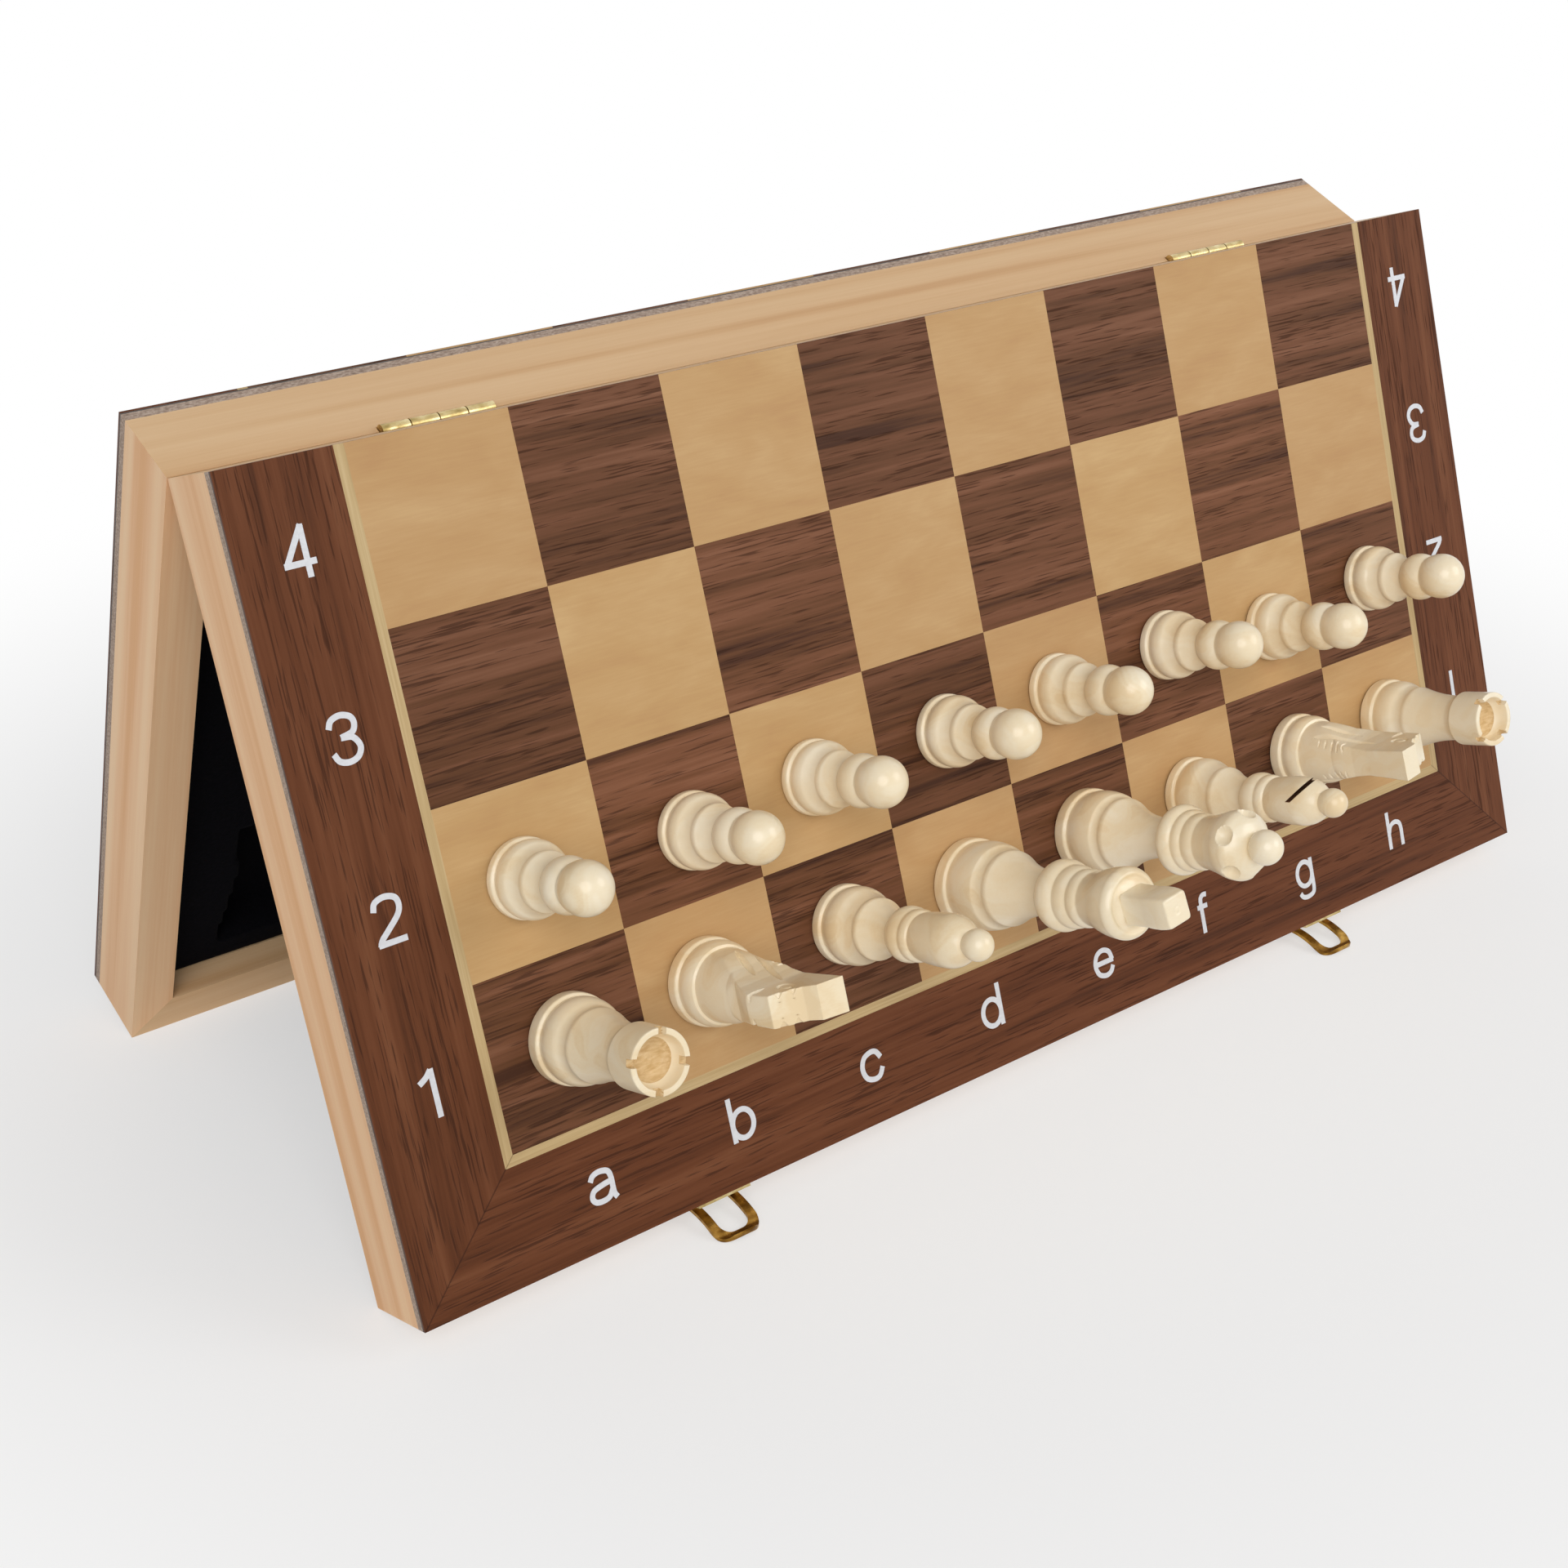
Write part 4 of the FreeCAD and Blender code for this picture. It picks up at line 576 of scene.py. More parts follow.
def outline_curve(outline):
    """An outline as evenly spaced (radius, height) points, with its corners eased.

    A step of chord c and bulge b is an arc that turns by 4 atan(2 b / c). The arcs are joined, points are
    read off evenly along their length, and each is then averaged with its two neighbours.
    """
    share = np.linspace(-1, 1, ARC_POINTS)[:, None]
    arcs = []
    for (r0, h0, _), (r1, h1, bulge) in zip(outline, outline[1:]):
        start, end = np.array([r0, h0], float), np.array([r1, h1], float)
        chord = math.dist(start, end)
        along = (end - start) / chord
        out = np.array([along[1], -along[0]])
        # The small sum keeps a straight step from being divided by 0.
        half_angle = 2 * math.atan2(2 * abs(bulge) + 1e-7, chord)
        radius = chord / (2 * math.sin(half_angle))
        swell = math.copysign(radius, bulge) * (np.cos(half_angle * share) - math.cos(half_angle))
        arcs.append((start + end) / 2 + along * radius * np.sin(half_angle * share) + out * swell)
    points = np.concatenate(arcs)
    run = np.concatenate([[0], np.cumsum(np.hypot(*np.diff(points, axis=0).T))])
    even = np.linspace(0, run[-1], int(run[-1] / OUTLINE_SPACING))
    curve = np.stack([np.interp(even, run, points[:, column]) for column in (0, 1)], axis=-1)
    curve[1:-1] = (curve[:-2] + 2 * curve[1:-1] + curve[2:]) / 4
    return curve


def step(value, edge, width):
    """A smooth step from 0 below the edge to 1 above it."""
    share = np.clip((value - edge) / width + 0.5, 0, 1)
    return share * share * (3 - 2 * share)


def revolved(curve, angle):
    """The points of an outline turned about Z: (r cos a, r sin a, h)."""
    radius, height = curve[:, :1], curve[:, 1:]
    return np.stack([radius * np.cos(angle), radius * np.sin(angle), height + 0 * angle], axis=-1)


def plain(curve, angle):
    """A man with nothing but its turning."""
    grid = revolved(curve, angle)
    return grid, 0 * grid[..., 2]


def battlements(curve, angle):
    """Four notches across the rook's rim: between their walls, what stands above the floor sinks to it."""
    grid = revolved(curve, angle)
    quarter = np.mod(angle + math.pi / 4, math.pi / 2) - math.pi / 4
    inside = 1 - step(np.abs(curve[:, :1] * np.sin(quarter)), ROOK_NOTCH, NOTCH_SOFT)
    height = grid[..., 2]
    above = np.maximum(height - ROOK_NOTCH_FLOOR, 0)
    in_hollow = np.arange(len(curve))[:, None] > np.argmax(curve[:, 1]) + RIM_ROWS
    on_floor = in_hollow & (height < ROOK_BOWL + BOWL_FLOOR)
    cut_share = np.maximum(inside * (above > NOTCH_SOFT), on_floor)
    grid[..., 2] = height - NOTCH_CUT * inside * above
    return grid, cut_share


def saw_cut(curve, angle):
    """A slanted kerf in one side of the mitre.

    On the sawn side, the mitre's rows are tilted until they lie along the saw's plane, which climbs from
    KERF_HEIGHT by KERF_RISE (x - KERF_START). In the rows inside the kerf, a point beyond its bottom,
    x > KERF_BOTTOM, slides back along the plane to it. A tilted row's radius is the outline's at its new
    height, found by going half way there in each pass.
    """
    low, high = BISHOP_NECK_TOP + MITRE_ROW, MITRE_TOP - MITRE_ROW
    outside = (curve[:, 1] < low) | (curve[:, 1] > high) | (curve[:, 0] < MITRE_TIP)
    rows = curve[outside]
    below, above = rows[rows[:, 1] < low], rows[rows[:, 1] >= low]
    walls = KERF_HEIGHT + KERF_HALF * KERF_ROWS
    under = np.arange(low, walls[0] - 0.2, MITRE_ROW)
    over = np.arange(walls[-1] + MITRE_ROW, high, MITRE_ROW)
    level = np.concatenate([under, walls, over])[:, None]
    head = curve[(curve[:, 1] > low - 1) & (curve[:, 1] < high + 1)]
    radius = np.interp(level, head[:, 1], head[:, 0]) + 0 * angle
    rising, falling = (level - low) / (KERF_HEIGHT - low), (high - level) / (high - KERF_HEIGHT)
    share = np.where(level < KERF_HEIGHT, rising, falling)
    for _ in range(TILT_PASSES):
        tilt = KERF_RISE * np.maximum(radius * np.cos(angle) - KERF_START, 0)
        height = level + tilt * np.minimum(share * TILT_REACH, 1)
        radius = 0.5 * radius + 0.5 * np.interp(height, head[:, 1], head[:, 0])
    x, y = radius * np.cos(angle), radius * np.sin(angle)
    sawn = (np.abs(level - KERF_HEIGHT) < KERF_INSIDE * KERF_HALF) & (x > KERF_BOTTOM)
    slid = np.where(sawn, KERF_BOTTOM, x)
    mitre = np.stack([slid, y, height - KERF_RISE * (x - slid)], axis=-1)
    lower, upper = revolved(below, angle), revolved(above, angle)
    cut_share = np.concatenate([0 * lower[..., 2], sawn * 1.0, 0 * upper[..., 2]])
    return np.concatenate([lower, mitre, upper]), cut_share


def coronet(curve, angle):
    """Round scoops in the queen's rim, taken out by balls of BITE_RADIUS at BITE_REACH from the axis."""
    part = 2 * math.pi / QUEEN_BITES
    nearest = np.mod(angle, part) - part / 2
    radius, height = curve[:, :1] + 0 * angle, curve[:, 1:]
    beside, along = radius * np.sin(nearest), height - BITE_HEIGHT
    depth = np.sqrt(np.clip(BITE_RADIUS ** 2 - beside ** 2 - along ** 2, 0, None))
    near = (np.abs(along) < BITE_RADIUS) & (radius > BITE_INNER) & (depth > 0)
    radius = np.where(near, np.minimum(radius, BITE_REACH - depth), radius)
    grid = np.stack([radius * np.cos(angle), radius * np.sin(angle), height + 0 * angle], axis=-1)
    return grid, 0 * grid[..., 2]


def squared_finial(curve, angle):
    """The king's finial is squared: over its seat, the radius follows a superellipse."""
    grid = revolved(curve, angle)
    share = step(curve[:, 1:], KING_SEAT + 0.2, 0.4) * step(curve[:, :1], 1.6, 1.6)
    sides = np.abs(np.cos(angle)) ** FINIAL_POWER + np.abs(np.sin(angle)) ** FINIAL_POWER
    corner = sides ** (-1 / FINIAL_POWER)
    grid[..., :2] *= (1 + share * (corner - 1))[..., None]
    return grid, 0 * grid[..., 2]


CARVINGS = {"pawn": plain, "rook": battlements, "bishop": saw_cut, "queen": coronet, "king": squared_finial}
# The bishop's kerf walls take the dark painted-shade material; the rook's cuts take the tan bare wood.
CUT_FACES = {"rook": cut_boxwood, "bishop": kerf_painted_shade}
# The places of the three materials on a man's piece, and the share of a cut from which a face is bare.
LACQUERED, FELTED, BARE = range(3)
BARE_FROM = 0.45


def closed_skin(grid):
    """Vertices and faces of a grid whose columns close on themselves, with a pole at each end row."""
    inner = grid[1:-1]
    rows, columns = inner.shape[:2]
    poles = [grid[0].mean(axis=0)[None], grid[-1].mean(axis=0)[None]]
    vertices = np.concatenate([inner.reshape(-1, 3), *poles])
    index = np.arange(rows * columns).reshape(rows, columns)
    right = np.roll(index, -1, axis=1)
    quads = np.stack([index[:-1], right[:-1], right[1:], index[1:]], axis=-1).reshape(-1, 4)
    low_pole = np.full(columns, rows * columns)
    low_fan = np.stack([low_pole, right[0], index[0]], axis=-1)
    top_fan = np.stack([low_pole + 1, index[-1], right[-1]], axis=-1)
    return vertices, quads.tolist() + low_fan.tolist() + top_fan.tolist()


def stand(points, man):
    """Points of a man, with its foot at the origin and its axis along Z, set on its place on the board."""
    across, down, turn = MEN[man]
    angle = math.radians(turn)
    x = points[..., 0] * math.cos(angle) - points[..., 1] * math.sin(angle)
    y = points[..., 0] * math.sin(angle) + points[..., 1] * math.cos(angle)
    x = x + (across - len(FILES) / 2) * SQUARE
    y = y - HALF_GAP - down * SQUARE
    return row_points(np.stack([x, y, points[..., 2] + FACE], axis=-1))


def man_piece(man, grid, cut_share):
    """The piece of one man, with felt below and bare wood where it is cut."""
    kind = man.split("_")[0]
    vertices, faces = closed_skin(stand(grid, man))
    inner = grid[1:-1]
    columns = inner.shape[1]
    middle = (inner[:-1] + inner[1:]) / 2
    spread = np.hypot(middle[..., 0], middle[..., 1])
    is_felt = (middle[..., 2] < FELT_THICK - 0.05) & (spread < spread.max())
    cut_middle = (cut_share[1:-2] + cut_share[2:-1]) / 2
    chosen = np.where(is_felt, FELTED, np.where(cut_middle > BARE_FROM, BARE, LACQUERED)).ravel()
    top_end = BARE if kind == "rook" else LACQUERED
    chosen = np.concatenate([chosen, np.full(columns, FELTED), np.full(columns, top_end)])
    materials = [boxwood, felt, CUT_FACES.get(kind, cut_boxwood)]
    made = piece(f"white_{man}", vertices, faces, materials, man, chosen, MAN_CREASE)
    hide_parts(man)


def turned_man(man, columns=120):
    """A turned man: its outline revolved about Z and carved as its kind asks, with columns at its edges."""
    kind = man.split("_")[0]
    angle = np.linspace(0, 2 * math.pi, columns, endpoint=False)
    if kind == "rook":
        edge = math.asin(ROOK_NOTCH / (ROOK_HEAD - ROOK_WALL / 2))
        beside = np.radians((-1.6, -0.8, 0.0, 0.8, 1.6))
        near = np.concatenate([edge + beside, -edge + beside])
        extra = (near[None] + np.arange(4)[:, None] * math.pi / 2).ravel()
        angle = np.unique(np.mod(np.concatenate([angle, extra]), 2 * math.pi).round(5))
    grid, cut_share = CARVINGS[kind](outline_curve(OUTLINES[kind]), angle[None])
    man_piece(man, grid, cut_share)


# The knight's sizes by height: front edge, back edge, half width and the radius it is turned to.
KNIGHT_HEIGHTS = (9.25, 12.0, 13.9, 20.0, 23.4, 27.0, 31.2, 32.0, 38.5, 41.5, 44.3, 45.3)
KNIGHT_FRONT = (8.9, 8.6, 8.3, 7.25, 6.7, 8.1, 9.7, 9.55, 8.4, 1.0, -1.0, -7.4)
KNIGHT_BACK = (8.9, 8.6, 8.45, 7.6, 7.3, 6.9, 6.9, 6.9, 7.25, 7.42, 7.55, 7.6)
KNIGHT_SIDE = (8.9, 8.65, 8.45, 6.0, 4.95, 4.15, 3.65, 3.62, 3.87, 3.99, 4.1, 4.15)
KNIGHT_BLANK = (8.85, 8.6, 8.42, 7.6, 8.25, 8.95, 9.85, 9.85, 9.85, 9.85, 9.85, 9.85)
# The order of the power mean: a higher one gives sharper edges.
KNIGHT_EDGE = 34.0
# The ring round the eye: its middle as (forward, height), how much it is narrowed, and its radius, half
# width and depth.
KNIGHT_EYE, EYE_NARROW, EYE_RADIUS, EYE_HALF, EYE_DEPTH = (2.0, 36.6), 1.5, 2.1, 0.6, 0.6
# Gouges down the flank and at the mouth, as start and end in (forward, height), with their depth and width.
KNIGHT_GOUGES = (((-1.6, 13.4), (1.4, 24.2)), ((-5.6, 13.6), (-1.0, 31.1)))
KNIGHT_MOUTH = ((10.4, 32.6), (4.6, 32.0))
GOUGE_CUT, MOUTH_CUT = (1.3, 0.95), (1.3, 0.9)
# Two notches on the bridge of the nose, and the row of cuts up the mane.
NOSE_NOTCHES, NOSE_LOW, NOSE_HIGH, NOSE_DEPTH, NOSE_HALF = (3.0, 6.1), 38.4, 41.4, 1.3, 0.9
MANE_PITCH, MANE_HALF, MANE_DEPTH, MANE_LOW, MANE_HIGH = 2.1, 0.35, 1.5, 15.5, 24.5


def groove(away, half_width):
    """The share of a V-shaped groove's depth: 1 on its line, and 0 at half_width from it."""
    return np.clip(1 - np.abs(away) / half_width, 0, 1)


def gouge(forward, height, start, end, depth, width):
    """The depth of a leaf-shaped gouge: deepest along its line, narrowing to both of its ends."""
    start, end = np.array(start), np.array(end)
    run = end - start
    share = np.clip(((forward - start[0]) * run[0] + (height - start[1]) * run[1]) / (run @ run), 0, 1)
    away = np.hypot(forward - start[0] - share * run[0], height - start[1] - share * run[1])
    leaf = np.sin(math.pi * np.clip(0.96 * share + 0.02, 0, 1)) ** 0.6
    return depth * leaf * groove(away, width * np.maximum(leaf, 0.05))


def knight_man(man, columns=264, rows=230):
    """A carved knight: at each height a section about a middle that follows the head.

    The section's radius is a soft least of the turned circle, the two side faces and the front and back
    faces (a power mean of high negative order). Gouges, the mouth, the eye's ring and the cuts in nose and
    mane sink into its sides.
    """
    heights, fronts = np.array(KNIGHT_HEIGHTS), np.array(KNIGHT_FRONT)
    run = np.concatenate([[0], np.cumsum(np.hypot(np.diff(heights), np.diff(fronts)))])
    level = np.interp(np.linspace(0, run[-1], rows), run, heights)
    front, back, side, blank = (
        np.interp(level, heights, values)[:, None]
        for values in (KNIGHT_FRONT, KNIGHT_BACK, KNIGHT_SIDE, KNIGHT_BLANK))
    angle = np.linspace(0, 2 * math.pi, columns, endpoint=False)[None]
    cosine, sine = np.cos(angle), np.sin(angle)
    middle = (front - back) / 2
    half_depth = np.maximum((front + back) / 2, 0.02)
    limits = [
        half_depth / np.maximum(np.abs(cosine), 1e-3),
        side / np.maximum(np.abs(sine), 1e-3),
        -middle * cosine + np.sqrt(blank ** 2 - (middle * sine) ** 2),
    ]
    reach = sum((limit / blank) ** -KNIGHT_EDGE for limit in limits) ** (-1 / KNIGHT_EDGE) * blank
    forward, aside, height = middle + reach * cosine, reach * sine, level[:, None] + 0 * reach

    sink = sum(gouge(forward, height, *line, *GOUGE_CUT) for line in KNIGHT_GOUGES)
    sink = sink + gouge(forward, height, *KNIGHT_MOUTH, *MOUTH_CUT)
    from_eye = np.hypot((forward - KNIGHT_EYE[0]) * EYE_NARROW, height - KNIGHT_EYE[1])
    sink = sink + EYE_DEPTH * groove(from_eye - EYE_RADIUS, EYE_HALF)
    on_bridge = step(height, NOSE_LOW, 0.6) * step(NOSE_HIGH, height, 0.6) * step(forward, front - 1.0, 0.8)
    for notch in NOSE_NOTCHES:
        sink = sink + NOSE_DEPTH * groove(forward - notch, NOSE_HALF) * on_bridge
    comb = groove(np.mod(height, MANE_PITCH) - MANE_PITCH / 2, MANE_HALF)
    comb = comb * step(height, MANE_LOW, 0.2) * step(MANE_HIGH, height, 0.2)
    sink = sink + MANE_DEPTH * comb * step(-forward, 0.75 * back, 1.0)
    on_side = step(np.abs(aside) / side, 0.62, 0.3)
    aside = np.sign(aside) * np.maximum(np.abs(aside) - sink * on_side, 0.0)
    head = np.stack([forward, aside, height], axis=-1)
    foot = revolved(outline_curve(cup(10.6, 3.6, 9.4, 9.0)), angle)
    grid = np.concatenate([foot, head])
    man_piece(man, grid, 0 * grid[..., 0])


for man in MEN:
    if man.startswith("knight"):
        knight_man(man)
    else:
        turned_man(man)


# Foam lining

INSERT_TOP, INSERT_BOTTOM = 7.15, 20.55
INSERT_HALF_LENGTH, INSERT_LOW, INSERT_HIGH = 178.7, -178.85, -11.45
# The foam lies this far under the CAD sheet's face and over its underside.
FOAM_UNDER, FOAM_OVER = 0.15, 0.02
# The rim rolls over by a depth, about a distance from the edge and over a width.
ROLL_DEPTH, ROLL_FROM, ROLL_WIDTH = 0.9, 0.7, 1.6
# The face waves by a height, over lengths along X and Y.
WAVE_HEIGHT, WAVE_X, WAVE_Y = 0.12, 23.0, 17.0
POCKET_DEPTH, POCKET_ROOM, POCKET_MARGIN = 10.2, 1.2, 9.2
POCKET_PITCH = 2 * INSERT_HALF_LENGTH / 8.3
BACK_ROW = ("rook", "knight", "bishop", "king", "queen", "bishop", "knight", "rook")
# Each kind's pocket as pairs of (height up the man, half width).
POCKETS = {
    "pawn": ((-0.2, 9.3), (2.6, 9.3), (7.3, 8.4), (16.6, 4.9), (20.2, 6.2), (33.8, 6.2)),
    "rook": ((-0.2, 10.6), (4.0, 10.6), (10.0, 9.2), (26.7, 6.3), (30.3, 7.5), (39.0, 7.5)),
    "knight": ((-0.2, 10.6), (3.6, 10.6), (9.0, 9.4), (27.0, 6.9), (30.6, 9.7), (45.3, 9.7)),
    "bishop": ((-0.2, 9.9), (3.0, 9.9), (8.9, 9.1), (22.6, 4.7), (26.2, 6.4), (54.4, 6.4)),
    "queen": ((-0.2, 11.3), (3.7, 11.3), (12.2, 10.3), (31.6, 5.1), (35.2, 8.75), (67.8, 8.75)),
    "king": ((-0.2, 11.6), (4.0, 11.6), (13.2, 10.6), (31.4, 5.3), (35.0, 8.65), (74.0, 8.65)),
}


def pocket_depth(x, y, kind, middle, foot_y, up):
    """How far a pocket sinks at each point.

    It is full inside the man's outline and eases to 0 at its rounded edge. The distance to the outline is
    the least of the distances to its sides and to its two ends.
    """
    along = (y - foot_y) * up
    stations, widths = np.array(POCKETS[kind]).T
    beside = np.interp(along, stations, widths) + POCKET_ROOM - np.abs(x - middle)
    ends = np.minimum(along + POCKET_ROOM, stations[-1] + POCKET_ROOM - along)
    inside = np.minimum(beside, ends)
    return POCKET_DEPTH * step(inside, 0.35, 1.5)


def foam_lining(half, columns=330, rows=160):
    """The foam insert: a height field over its length and depth, with walls and a closed underside.

    The open face waves a little under INSERT_TOP, sinks by the deepest pocket at each point and rolls over
    at its rim.
    """
    x = np.linspace(-INSERT_HALF_LENGTH, INSERT_HALF_LENGTH, columns)[None]
    y = np.linspace(INSERT_LOW, INSERT_HIGH, rows)[:, None]
    sunk = np.zeros((rows, columns))
    for column, kind in enumerate(BACK_ROW):
        middle = (column - (len(BACK_ROW) - 1) / 2) * POCKET_PITCH
        low, high = INSERT_LOW + POCKET_MARGIN, INSERT_HIGH - POCKET_MARGIN
        for man_kind, foot_y, up in ((kind, low, 1), ("pawn", high, -1)):
            sunk = np.maximum(sunk, pocket_depth(x, y, man_kind, middle, foot_y, up))
    to_end = np.minimum(x + INSERT_HALF_LENGTH, INSERT_HALF_LENGTH - x)
    to_rim = np.minimum(to_end, np.minimum(y - INSERT_LOW, INSERT_HIGH - y))
    rolled = ROLL_DEPTH * (1 - step(to_rim, ROLL_FROM, ROLL_WIDTH))
    wave = WAVE_HEIGHT * np.sin(x / WAVE_X) * np.sin(y / WAVE_Y)
    level = INSERT_TOP + FOAM_UNDER + wave + np.maximum(sunk, rolled)
    top = np.stack([x + 0 * y, y + 0 * x, level], axis=-1)
    index = np.arange(rows * columns).reshape(rows, columns)
    corners = [index[:-1, :-1], index[1:, :-1], index[1:, 1:], index[:-1, 1:]]
    quads = np.stack(corners, axis=-1).reshape(-1, 4)
    rim = np.concatenate([index[0, :-1], index[:-1, -1], index[-1, :0:-1], index[:0:-1, 0]])
    under = top.reshape(-1, 3)[rim]
    under[:, 2] = INSERT_BOTTOM - FOAM_OVER
    centre = under.mean(axis=0)[None]
    low = rows * columns + np.arange(len(rim))
    walls = np.stack([rim, np.roll(rim, -1), np.roll(low, -1), low], axis=-1)
    fan = np.stack([low, np.roll(low, -1), np.full(len(rim), rows * columns + len(rim))], axis=-1)
    vertices = row_points(np.concatenate([top.reshape(-1, 3), under, centre]), half)
    faces = quads.tolist() + walls.tolist() + fan.tolist()
    made = piece(f"{half}_foam_lining", vertices, faces, [black_foam(half)], f"{half}_half")
    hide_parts(f"{half}_insert_base", f"{half}_insert_pockets")


for half in HALVES:
    foam_lining(half)


# Coordinates round the board

STROKE_HALF = 0.68
PRINT_THICK = 0.2
# A stroke that crosses another lies this much over it.
PRINT_LAP = 0.02
LETTER_LINE = -179.5
DIGIT_LINE = 175.4
DIGIT_DROP = 5.4
# Each character's strokes from its foot's middle, in millimetres: a bend is a smooth curve through its
# points, a line is straight, and a ring is an ellipse by its middle and its two radii.
STROKES = {
    "a": (("bend", (-2.9, 5.9), (-2.0, 7.1), (-0.2, 7.55), (1.9, 7.0), (2.55, 5.4), (2.55, 2.6),
           (2.65, 1.2), (3.2, 0.1)),
          ("bend", (2.5, 4.5), (0.2, 4.25), (-2.4, 3.6), (-3.2, 2.1), (-2.5, 0.9), (-0.8, 0.5),
           (1.2, 0.9), (2.5, 2.6))),
    "b": (("line", (-2.9, 0.0), (-2.9, 11.2)), ("ring", (0.1, 4.05), (3.0, 3.5))),
    "c": (("bend", (2.9, 5.4), (1.7, 7.2), (0.0, 7.55), (-2.2, 6.6), (-3.1, 4.05), (-2.2, 1.5), (0.0, 0.55),
           (1.8, 1.0), (3.0, 2.9)),),
    "d": (("line", (2.9, 0.0), (2.9, 11.2)), ("ring", (-0.1, 4.05), (3.0, 3.5))),
    "e": (("line", (-3.05, 4.2), (3.4, 4.2)),
          ("bend", (3.05, 4.2), (2.2, 6.6), (0.0, 7.55), (-2.2, 6.6), (-3.1, 4.05), (-2.2, 1.5),
           (0.1, 0.55), (2.0, 1.1), (3.0, 2.6))),
    "f": (("bend", (-1.8, 0.0), (-1.8, 4.4), (-1.8, 8.9), (-1.35, 10.2), (-0.4, 10.65), (0.7, 10.5)),
          ("line", (-3.3, 7.5), (0.5, 7.5))),
    "g": (("bend", (2.9, 8.1), (2.9, 3.8), (2.9, -0.6), (2.2, -2.2), (0.0, -2.75), (-1.9, -2.3),
           (-2.8, -1.1)),
          ("ring", (-0.1, 4.05), (3.0, 3.5))),
    "h": (("line", (-2.7, 0.0), (-2.7, 11.2)),
          ("bend", (-2.7, 4.6), (-1.7, 6.8), (0.3, 7.55), (2.1, 6.8), (2.65, 5.0), (2.65, 2.5),
           (2.65, 0.0))),
    "1": (("line", (1.0, 0.0), (1.0, 11.2)), ("bend", (1.0, 11.0), (-0.4, 9.6), (-2.3, 8.5))),
    "2": (("bend", (-3.1, 8.0), (-2.4, 9.9), (0.0, 10.65), (2.4, 9.9), (3.0, 8.0), (2.2, 6.0), (-0.6, 3.4),
           (-2.5, 1.7), (-3.2, 0.3)), ("line", (-3.6, 0.66), (3.3, 0.66))),
    "3": (("bend", (-3.1, 8.3), (-2.2, 10.0), (0.0, 10.65), (2.2, 9.9), (2.85, 8.3), (2.0, 6.6),
           (-0.8, 5.95)),
          ("bend", (-0.8, 5.95), (1.8, 5.5), (3.1, 3.3), (2.2, 1.3), (0.0, 0.55), (-2.2, 1.2),
           (-3.2, 3.0))),
    "4": (("line", (1.55, 11.1), (-3.45, 3.1)), ("line", (-4.0, 3.2), (3.4, 3.2)),
          ("line", (1.35, 0.0), (1.35, 11.2))),
    "5": (("line", (2.8, 10.5), (-2.3, 10.5)), ("line", (-1.85, 11.1), (-2.85, 5.2)),
          ("bend", (-2.9, 5.2), (-1.2, 6.6), (0.6, 6.85), (2.6, 5.7), (3.15, 3.6), (2.3, 1.4), (0.0, 0.55),
           (-2.2, 1.3), (-3.2, 3.0))),
    "6": (("bend", (2.9, 8.5), (1.9, 10.2), (0.2, 10.65), (-1.9, 9.6), (-2.95, 6.6), (-2.95, 3.7)),
          ("ring", (0.1, 3.7), (3.05, 3.15))),
    "7": (("line", (-3.3, 10.5), (3.5, 10.5)), ("bend", (3.1, 10.4), (1.2, 7.6), (-0.2, 4.4), (-0.9, 0.0))),
    "8": (("ring", (0.0, 8.25), (2.5, 2.4)), ("ring", (0.0, 3.3), (3.05, 2.75))),
}


def stroke_path(shape, points):
    """The middle line of a stroke as an array of points, and whether it closes on itself.

    A bend is a Catmull-Rom curve: between two points it is the cubic that leaves each of them along the
    chord of its neighbours.
    """
    points = np.array(points)
    if shape == "ring":
        turn = np.linspace(0, 2 * math.pi, 48, endpoint=False)[:, None]
        return points[0] + points[1] * np.concatenate([np.cos(turn), np.sin(turn)], axis=1), True
    if shape == "line":
        return points, False
    ends = np.concatenate([[2 * points[0] - points[1]], points, [2 * points[-1] - points[-2]]])
    before, start, end, after = (ends[place:len(ends) - 3 + place][:, None] for place in range(4))
    t = np.linspace(0, 1, 9)[:-1][None, :, None]
    cubic = (2 * start + (end - before) * t + (2 * before - 5 * start + 4 * end - after) * t ** 2
             + (3 * start - before - 3 * end + after) * t ** 3) / 2
    return np.concatenate([cubic.reshape(-1, 2), points[-1:]]), False


def stroke_solid(shape, *points):
    """A stroke as a thin closed strip: its middle line widened to both sides and given a thickness."""
    path, closed = stroke_path(shape, points)
    before, after = (np.roll(path, shift, axis=0) for shift in (1, -1))
    if not closed:
        before[0], after[-1] = path[0], path[-1]
    along = after - before
    along = along / np.hypot(*along.T)[:, None]
    beside = STROKE_HALF * np.stack([-along[:, 1], along[:, 0]], axis=1)
    rings = []
    for side, level in ((1, 1), (-1, 1), (-1, -1), (1, -1)):
        flat = path + side * beside
        rings.append(np.concatenate([flat, np.full((len(path), 1), level * PRINT_THICK / 2)], axis=1))
    vertices = np.stack(rings, axis=1).reshape(-1, 3)
    index = np.arange(4 * len(path)).reshape(-1, 4)
    last = index if closed else index[:-1]
    after = np.roll(index, -1, axis=0)[:len(last)]
    corners = [last, np.roll(last, -1, axis=1), np.roll(after, -1, axis=1), after]
    faces = np.stack(corners, axis=-1).reshape(-1, 4).tolist()
    if not closed:
        faces += [index[0][::-1].tolist(), index[-1].tolist()]
    return vertices, faces


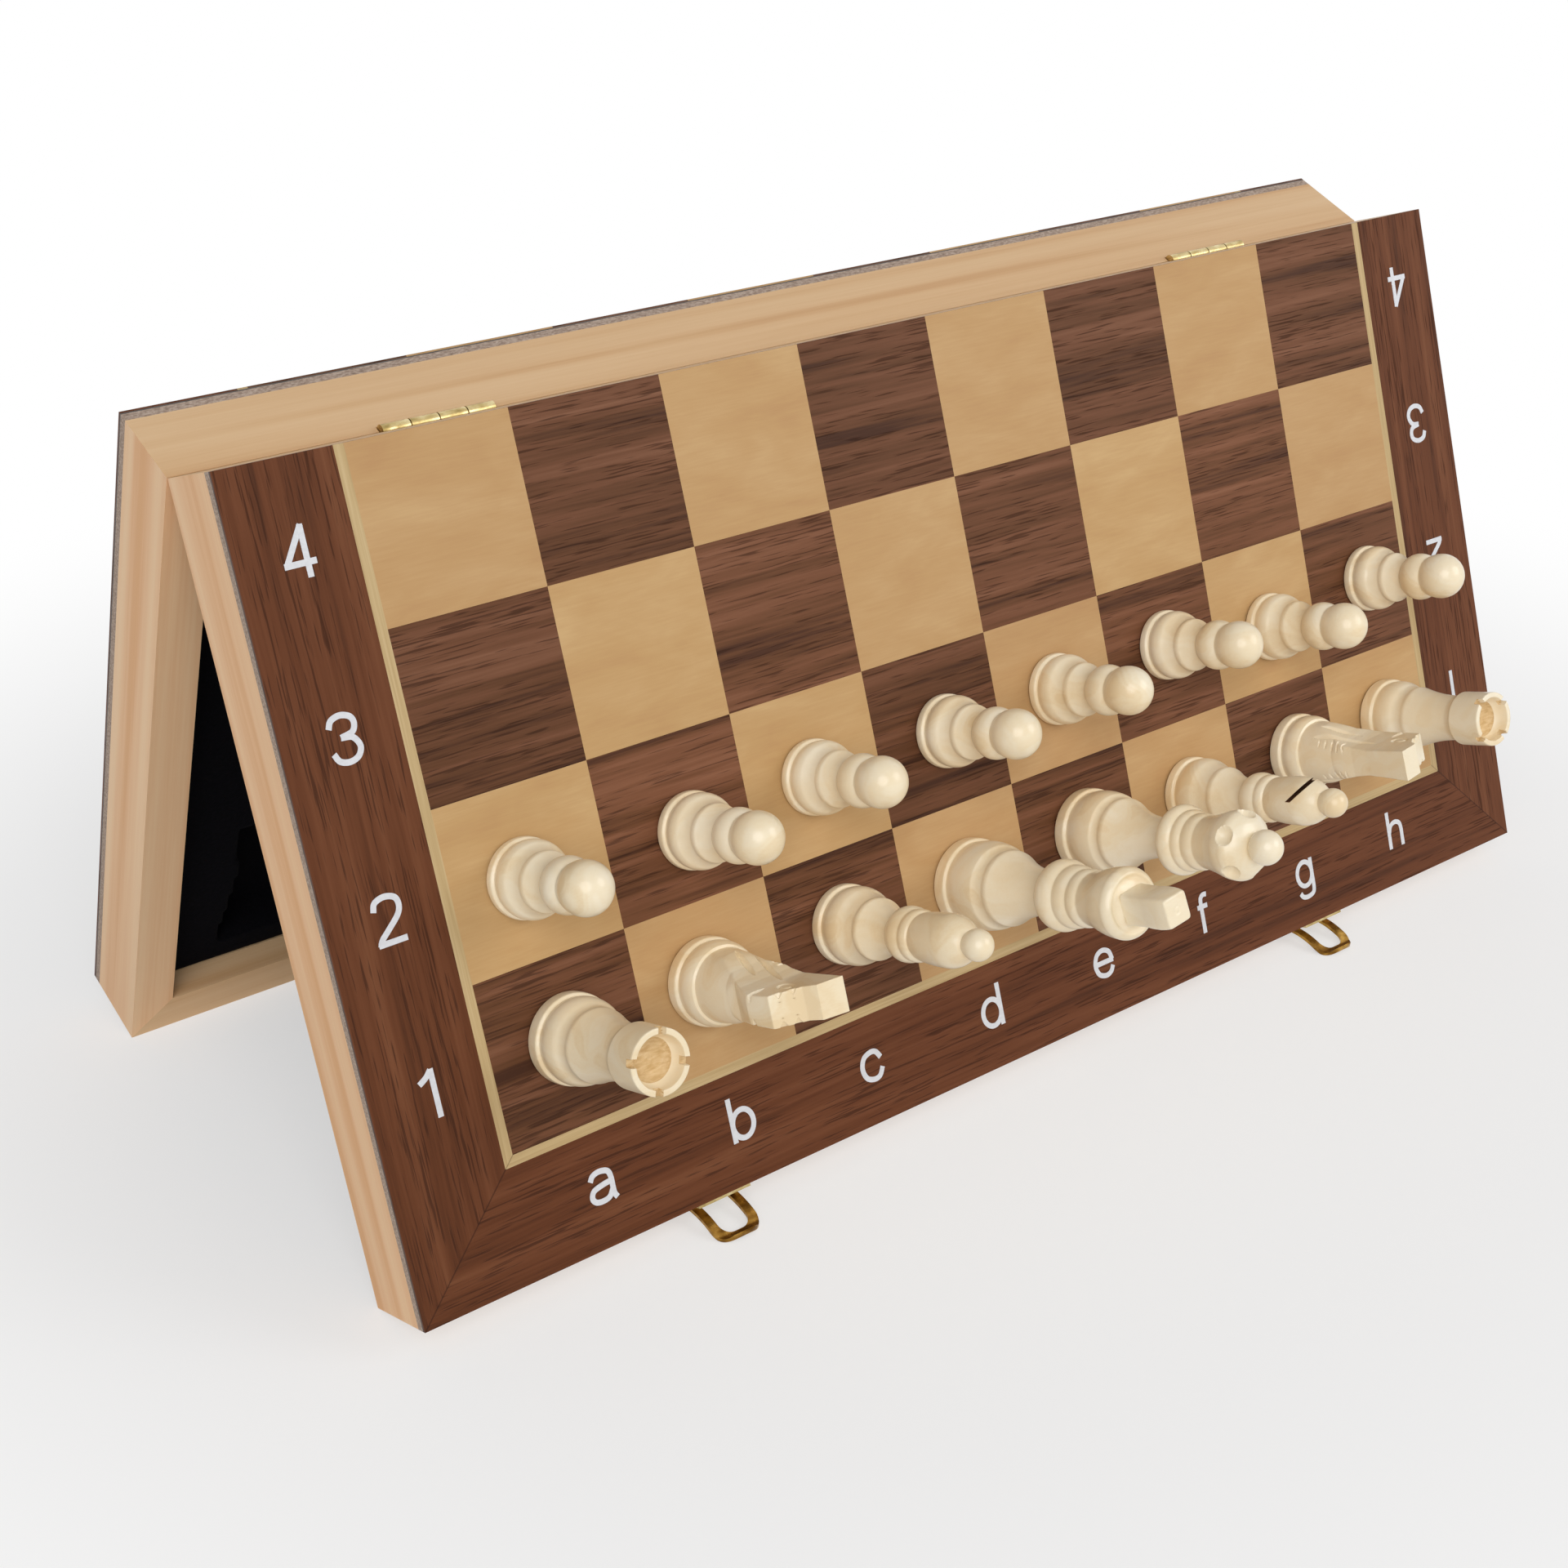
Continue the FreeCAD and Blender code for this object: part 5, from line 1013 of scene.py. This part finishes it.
def coordinates(half):
    """The letters along a half's latch edge and the digits up both sides, as one piece."""
    letters = FILES if half == "front" else FILES[::-1]
    digits = "4321" if half == "front" else "5678"
    centre = (len(FILES) - 1) / 2
    marks = [(letter, (column - centre) * SQUARE, LETTER_LINE, 1) for column, letter in enumerate(letters)]
    for rank, digit in enumerate(digits):
        middle = -HALF_GAP - (rank + 0.5) * SQUARE
        marks.append((digit, -DIGIT_LINE, middle - DIGIT_DROP, 1))
        marks.append((digit, DIGIT_LINE, middle + DIGIT_DROP, -1))
    all_points, all_faces, count = [], [], 0
    for character, x, y, turn in marks:
        for order, stroke in enumerate(STROKES[character]):
            points, faces = stroke_solid(*stroke)
            all_points.append(points * (turn, turn, 1) + (x, y, FACE + order * PRINT_LAP))
            all_faces += [[corner + count for corner in face] for face in faces]
            count += len(points)
    vertices = row_points(np.concatenate(all_points), half)
    made = piece(f"{half}_coordinates", vertices, all_faces, [silver_print(half)], f"{half}_half")
    made.data.polygons.foreach_set("use_smooth", np.zeros(len(all_faces), dtype=bool))


for half in HALVES:
    coordinates(half)


# Floor, light and camera

def seen_directly(tree):
    """1 for rays of the camera, of gloss and of glass, and 0 for the rays that light the board."""
    rays = add(tree, "LightPath")
    links = {0: rays["Is Camera Ray"], 1: rays["Is Glossy Ray"]}
    seen = add(tree, "Math", links, operation="MAXIMUM")[0]
    links = {0: seen, 1: rays["Is Transmission Ray"]}
    return add(tree, "Math", links, operation="MAXIMUM")[0]


# The floor's half length and where it goes over to white, in metres, and its share of white near the board.
FLOOR_REACH, FADE_FROM, FADE_TO, NEAR_WHITE = 6.0, 0.16, 0.46, 0.5


def studio_floor():
    """A pale floor that keeps the board's soft shadow near it and goes over to white further out."""
    material, tree, shader = finish(
        "pale_floor", Base_Color=linear("#f6f6f6"), Roughness=0.9, Specular_IOR_Level=0.1)
    white = add(tree, "Emission", {"Color": linear(WHITE), "Strength": 1.0})[0]
    place = add(tree, "TexCoord")["Object"]
    away = add(tree, "VectorMath", {0: place}, operation="LENGTH")["Value"]
    links = {"Value": away, "From Min": FADE_FROM, "From Max": FADE_TO, "To Min": NEAR_WHITE, "To Max": 1.0}
    share = add(tree, "MapRange", links, interpolation_type="SMOOTHSTEP")[0]
    share = add(tree, "Math", {0: share, 1: seen_directly(tree)}, operation="MULTIPLY")[0]
    links = {0: share, 1: shader.outputs[0], 2: white}
    mixed = add(tree, "MixShader", links)[0]
    tree.links.new(mixed, tree.nodes["Material Output"].inputs["Surface"])
    corners = FLOOR_REACH * np.array([(-1, -1, 0), (1, -1, 0), (1, 1, 0), (-1, 1, 0)])
    mesh = bpy.data.meshes.new("studio_floor")
    mesh.from_pydata(corners.tolist(), [], [(0, 1, 2, 3)])
    mesh.materials.append(material)
    made = new_object("studio_floor", mesh)


# Each lamp's place and size in metres, and its power in watts.
LAMPS = (
    ("wide_lamp", (-1.5, -2.0, 1.7), 2.4, 46.0),
    ("near_lamp", (0.75, -0.9, 0.75), 0.8, 4.8),
)
LAMP_TARGET = Vector((0.0, -0.03, 0.08))
DOME_LIGHT = 0.28


def studio_light():
    """Two soft lamps, a wide one at the left and a near one at the right, under a dome seen as white."""
    world = bpy.data.worlds.new("studio_dome")
    bpy.context.scene.world = world
    world.use_nodes = True
    tree = world.node_tree
    links = {"Value": seen_directly(tree), "To Min": DOME_LIGHT, "To Max": 1.0}
    strength = add(tree, "MapRange", links)[0]
    background = tree.nodes["Background"]
    background.inputs["Color"].default_value = linear(WHITE)
    tree.links.new(strength, background.inputs["Strength"])

    for name, place, size, power in LAMPS:
        lamp = bpy.data.lights.new(name, type="AREA")
        lamp.shape = "DISK"
        lamp.size = size
        lamp.energy = power
        made = new_object(name, lamp)
        aim = LAMP_TARGET - Vector(place)
        turn = aim.to_track_quat("-Z", "Y").to_matrix().to_4x4()
        made.matrix_world = Matrix.Translation(place) @ turn


def photo_camera():
    """The photograph's viewpoint: its place in metres and its axes, all in the row frame."""
    place = (-0.370456, -0.412951, 0.351647)
    right = Vector((0.79077, -0.611853, 0.017867))
    down = Vector((-0.275238, -0.381491, -0.882445))
    forward = Vector((0.546742, 0.692893, -0.470077))
    camera = bpy.data.cameras.new("photo_camera")
    camera.sensor_width = 36.0
    camera.lens = 53.079
    made = new_object("photo_camera", camera)
    turn = Matrix((right, -down, -forward)).transposed().to_4x4()
    made.matrix_world = Matrix.Translation(place) @ turn
    bpy.context.scene.camera = made


studio_floor()
studio_light()
photo_camera()
bpy.context.scene.view_settings.view_transform = "Standard"
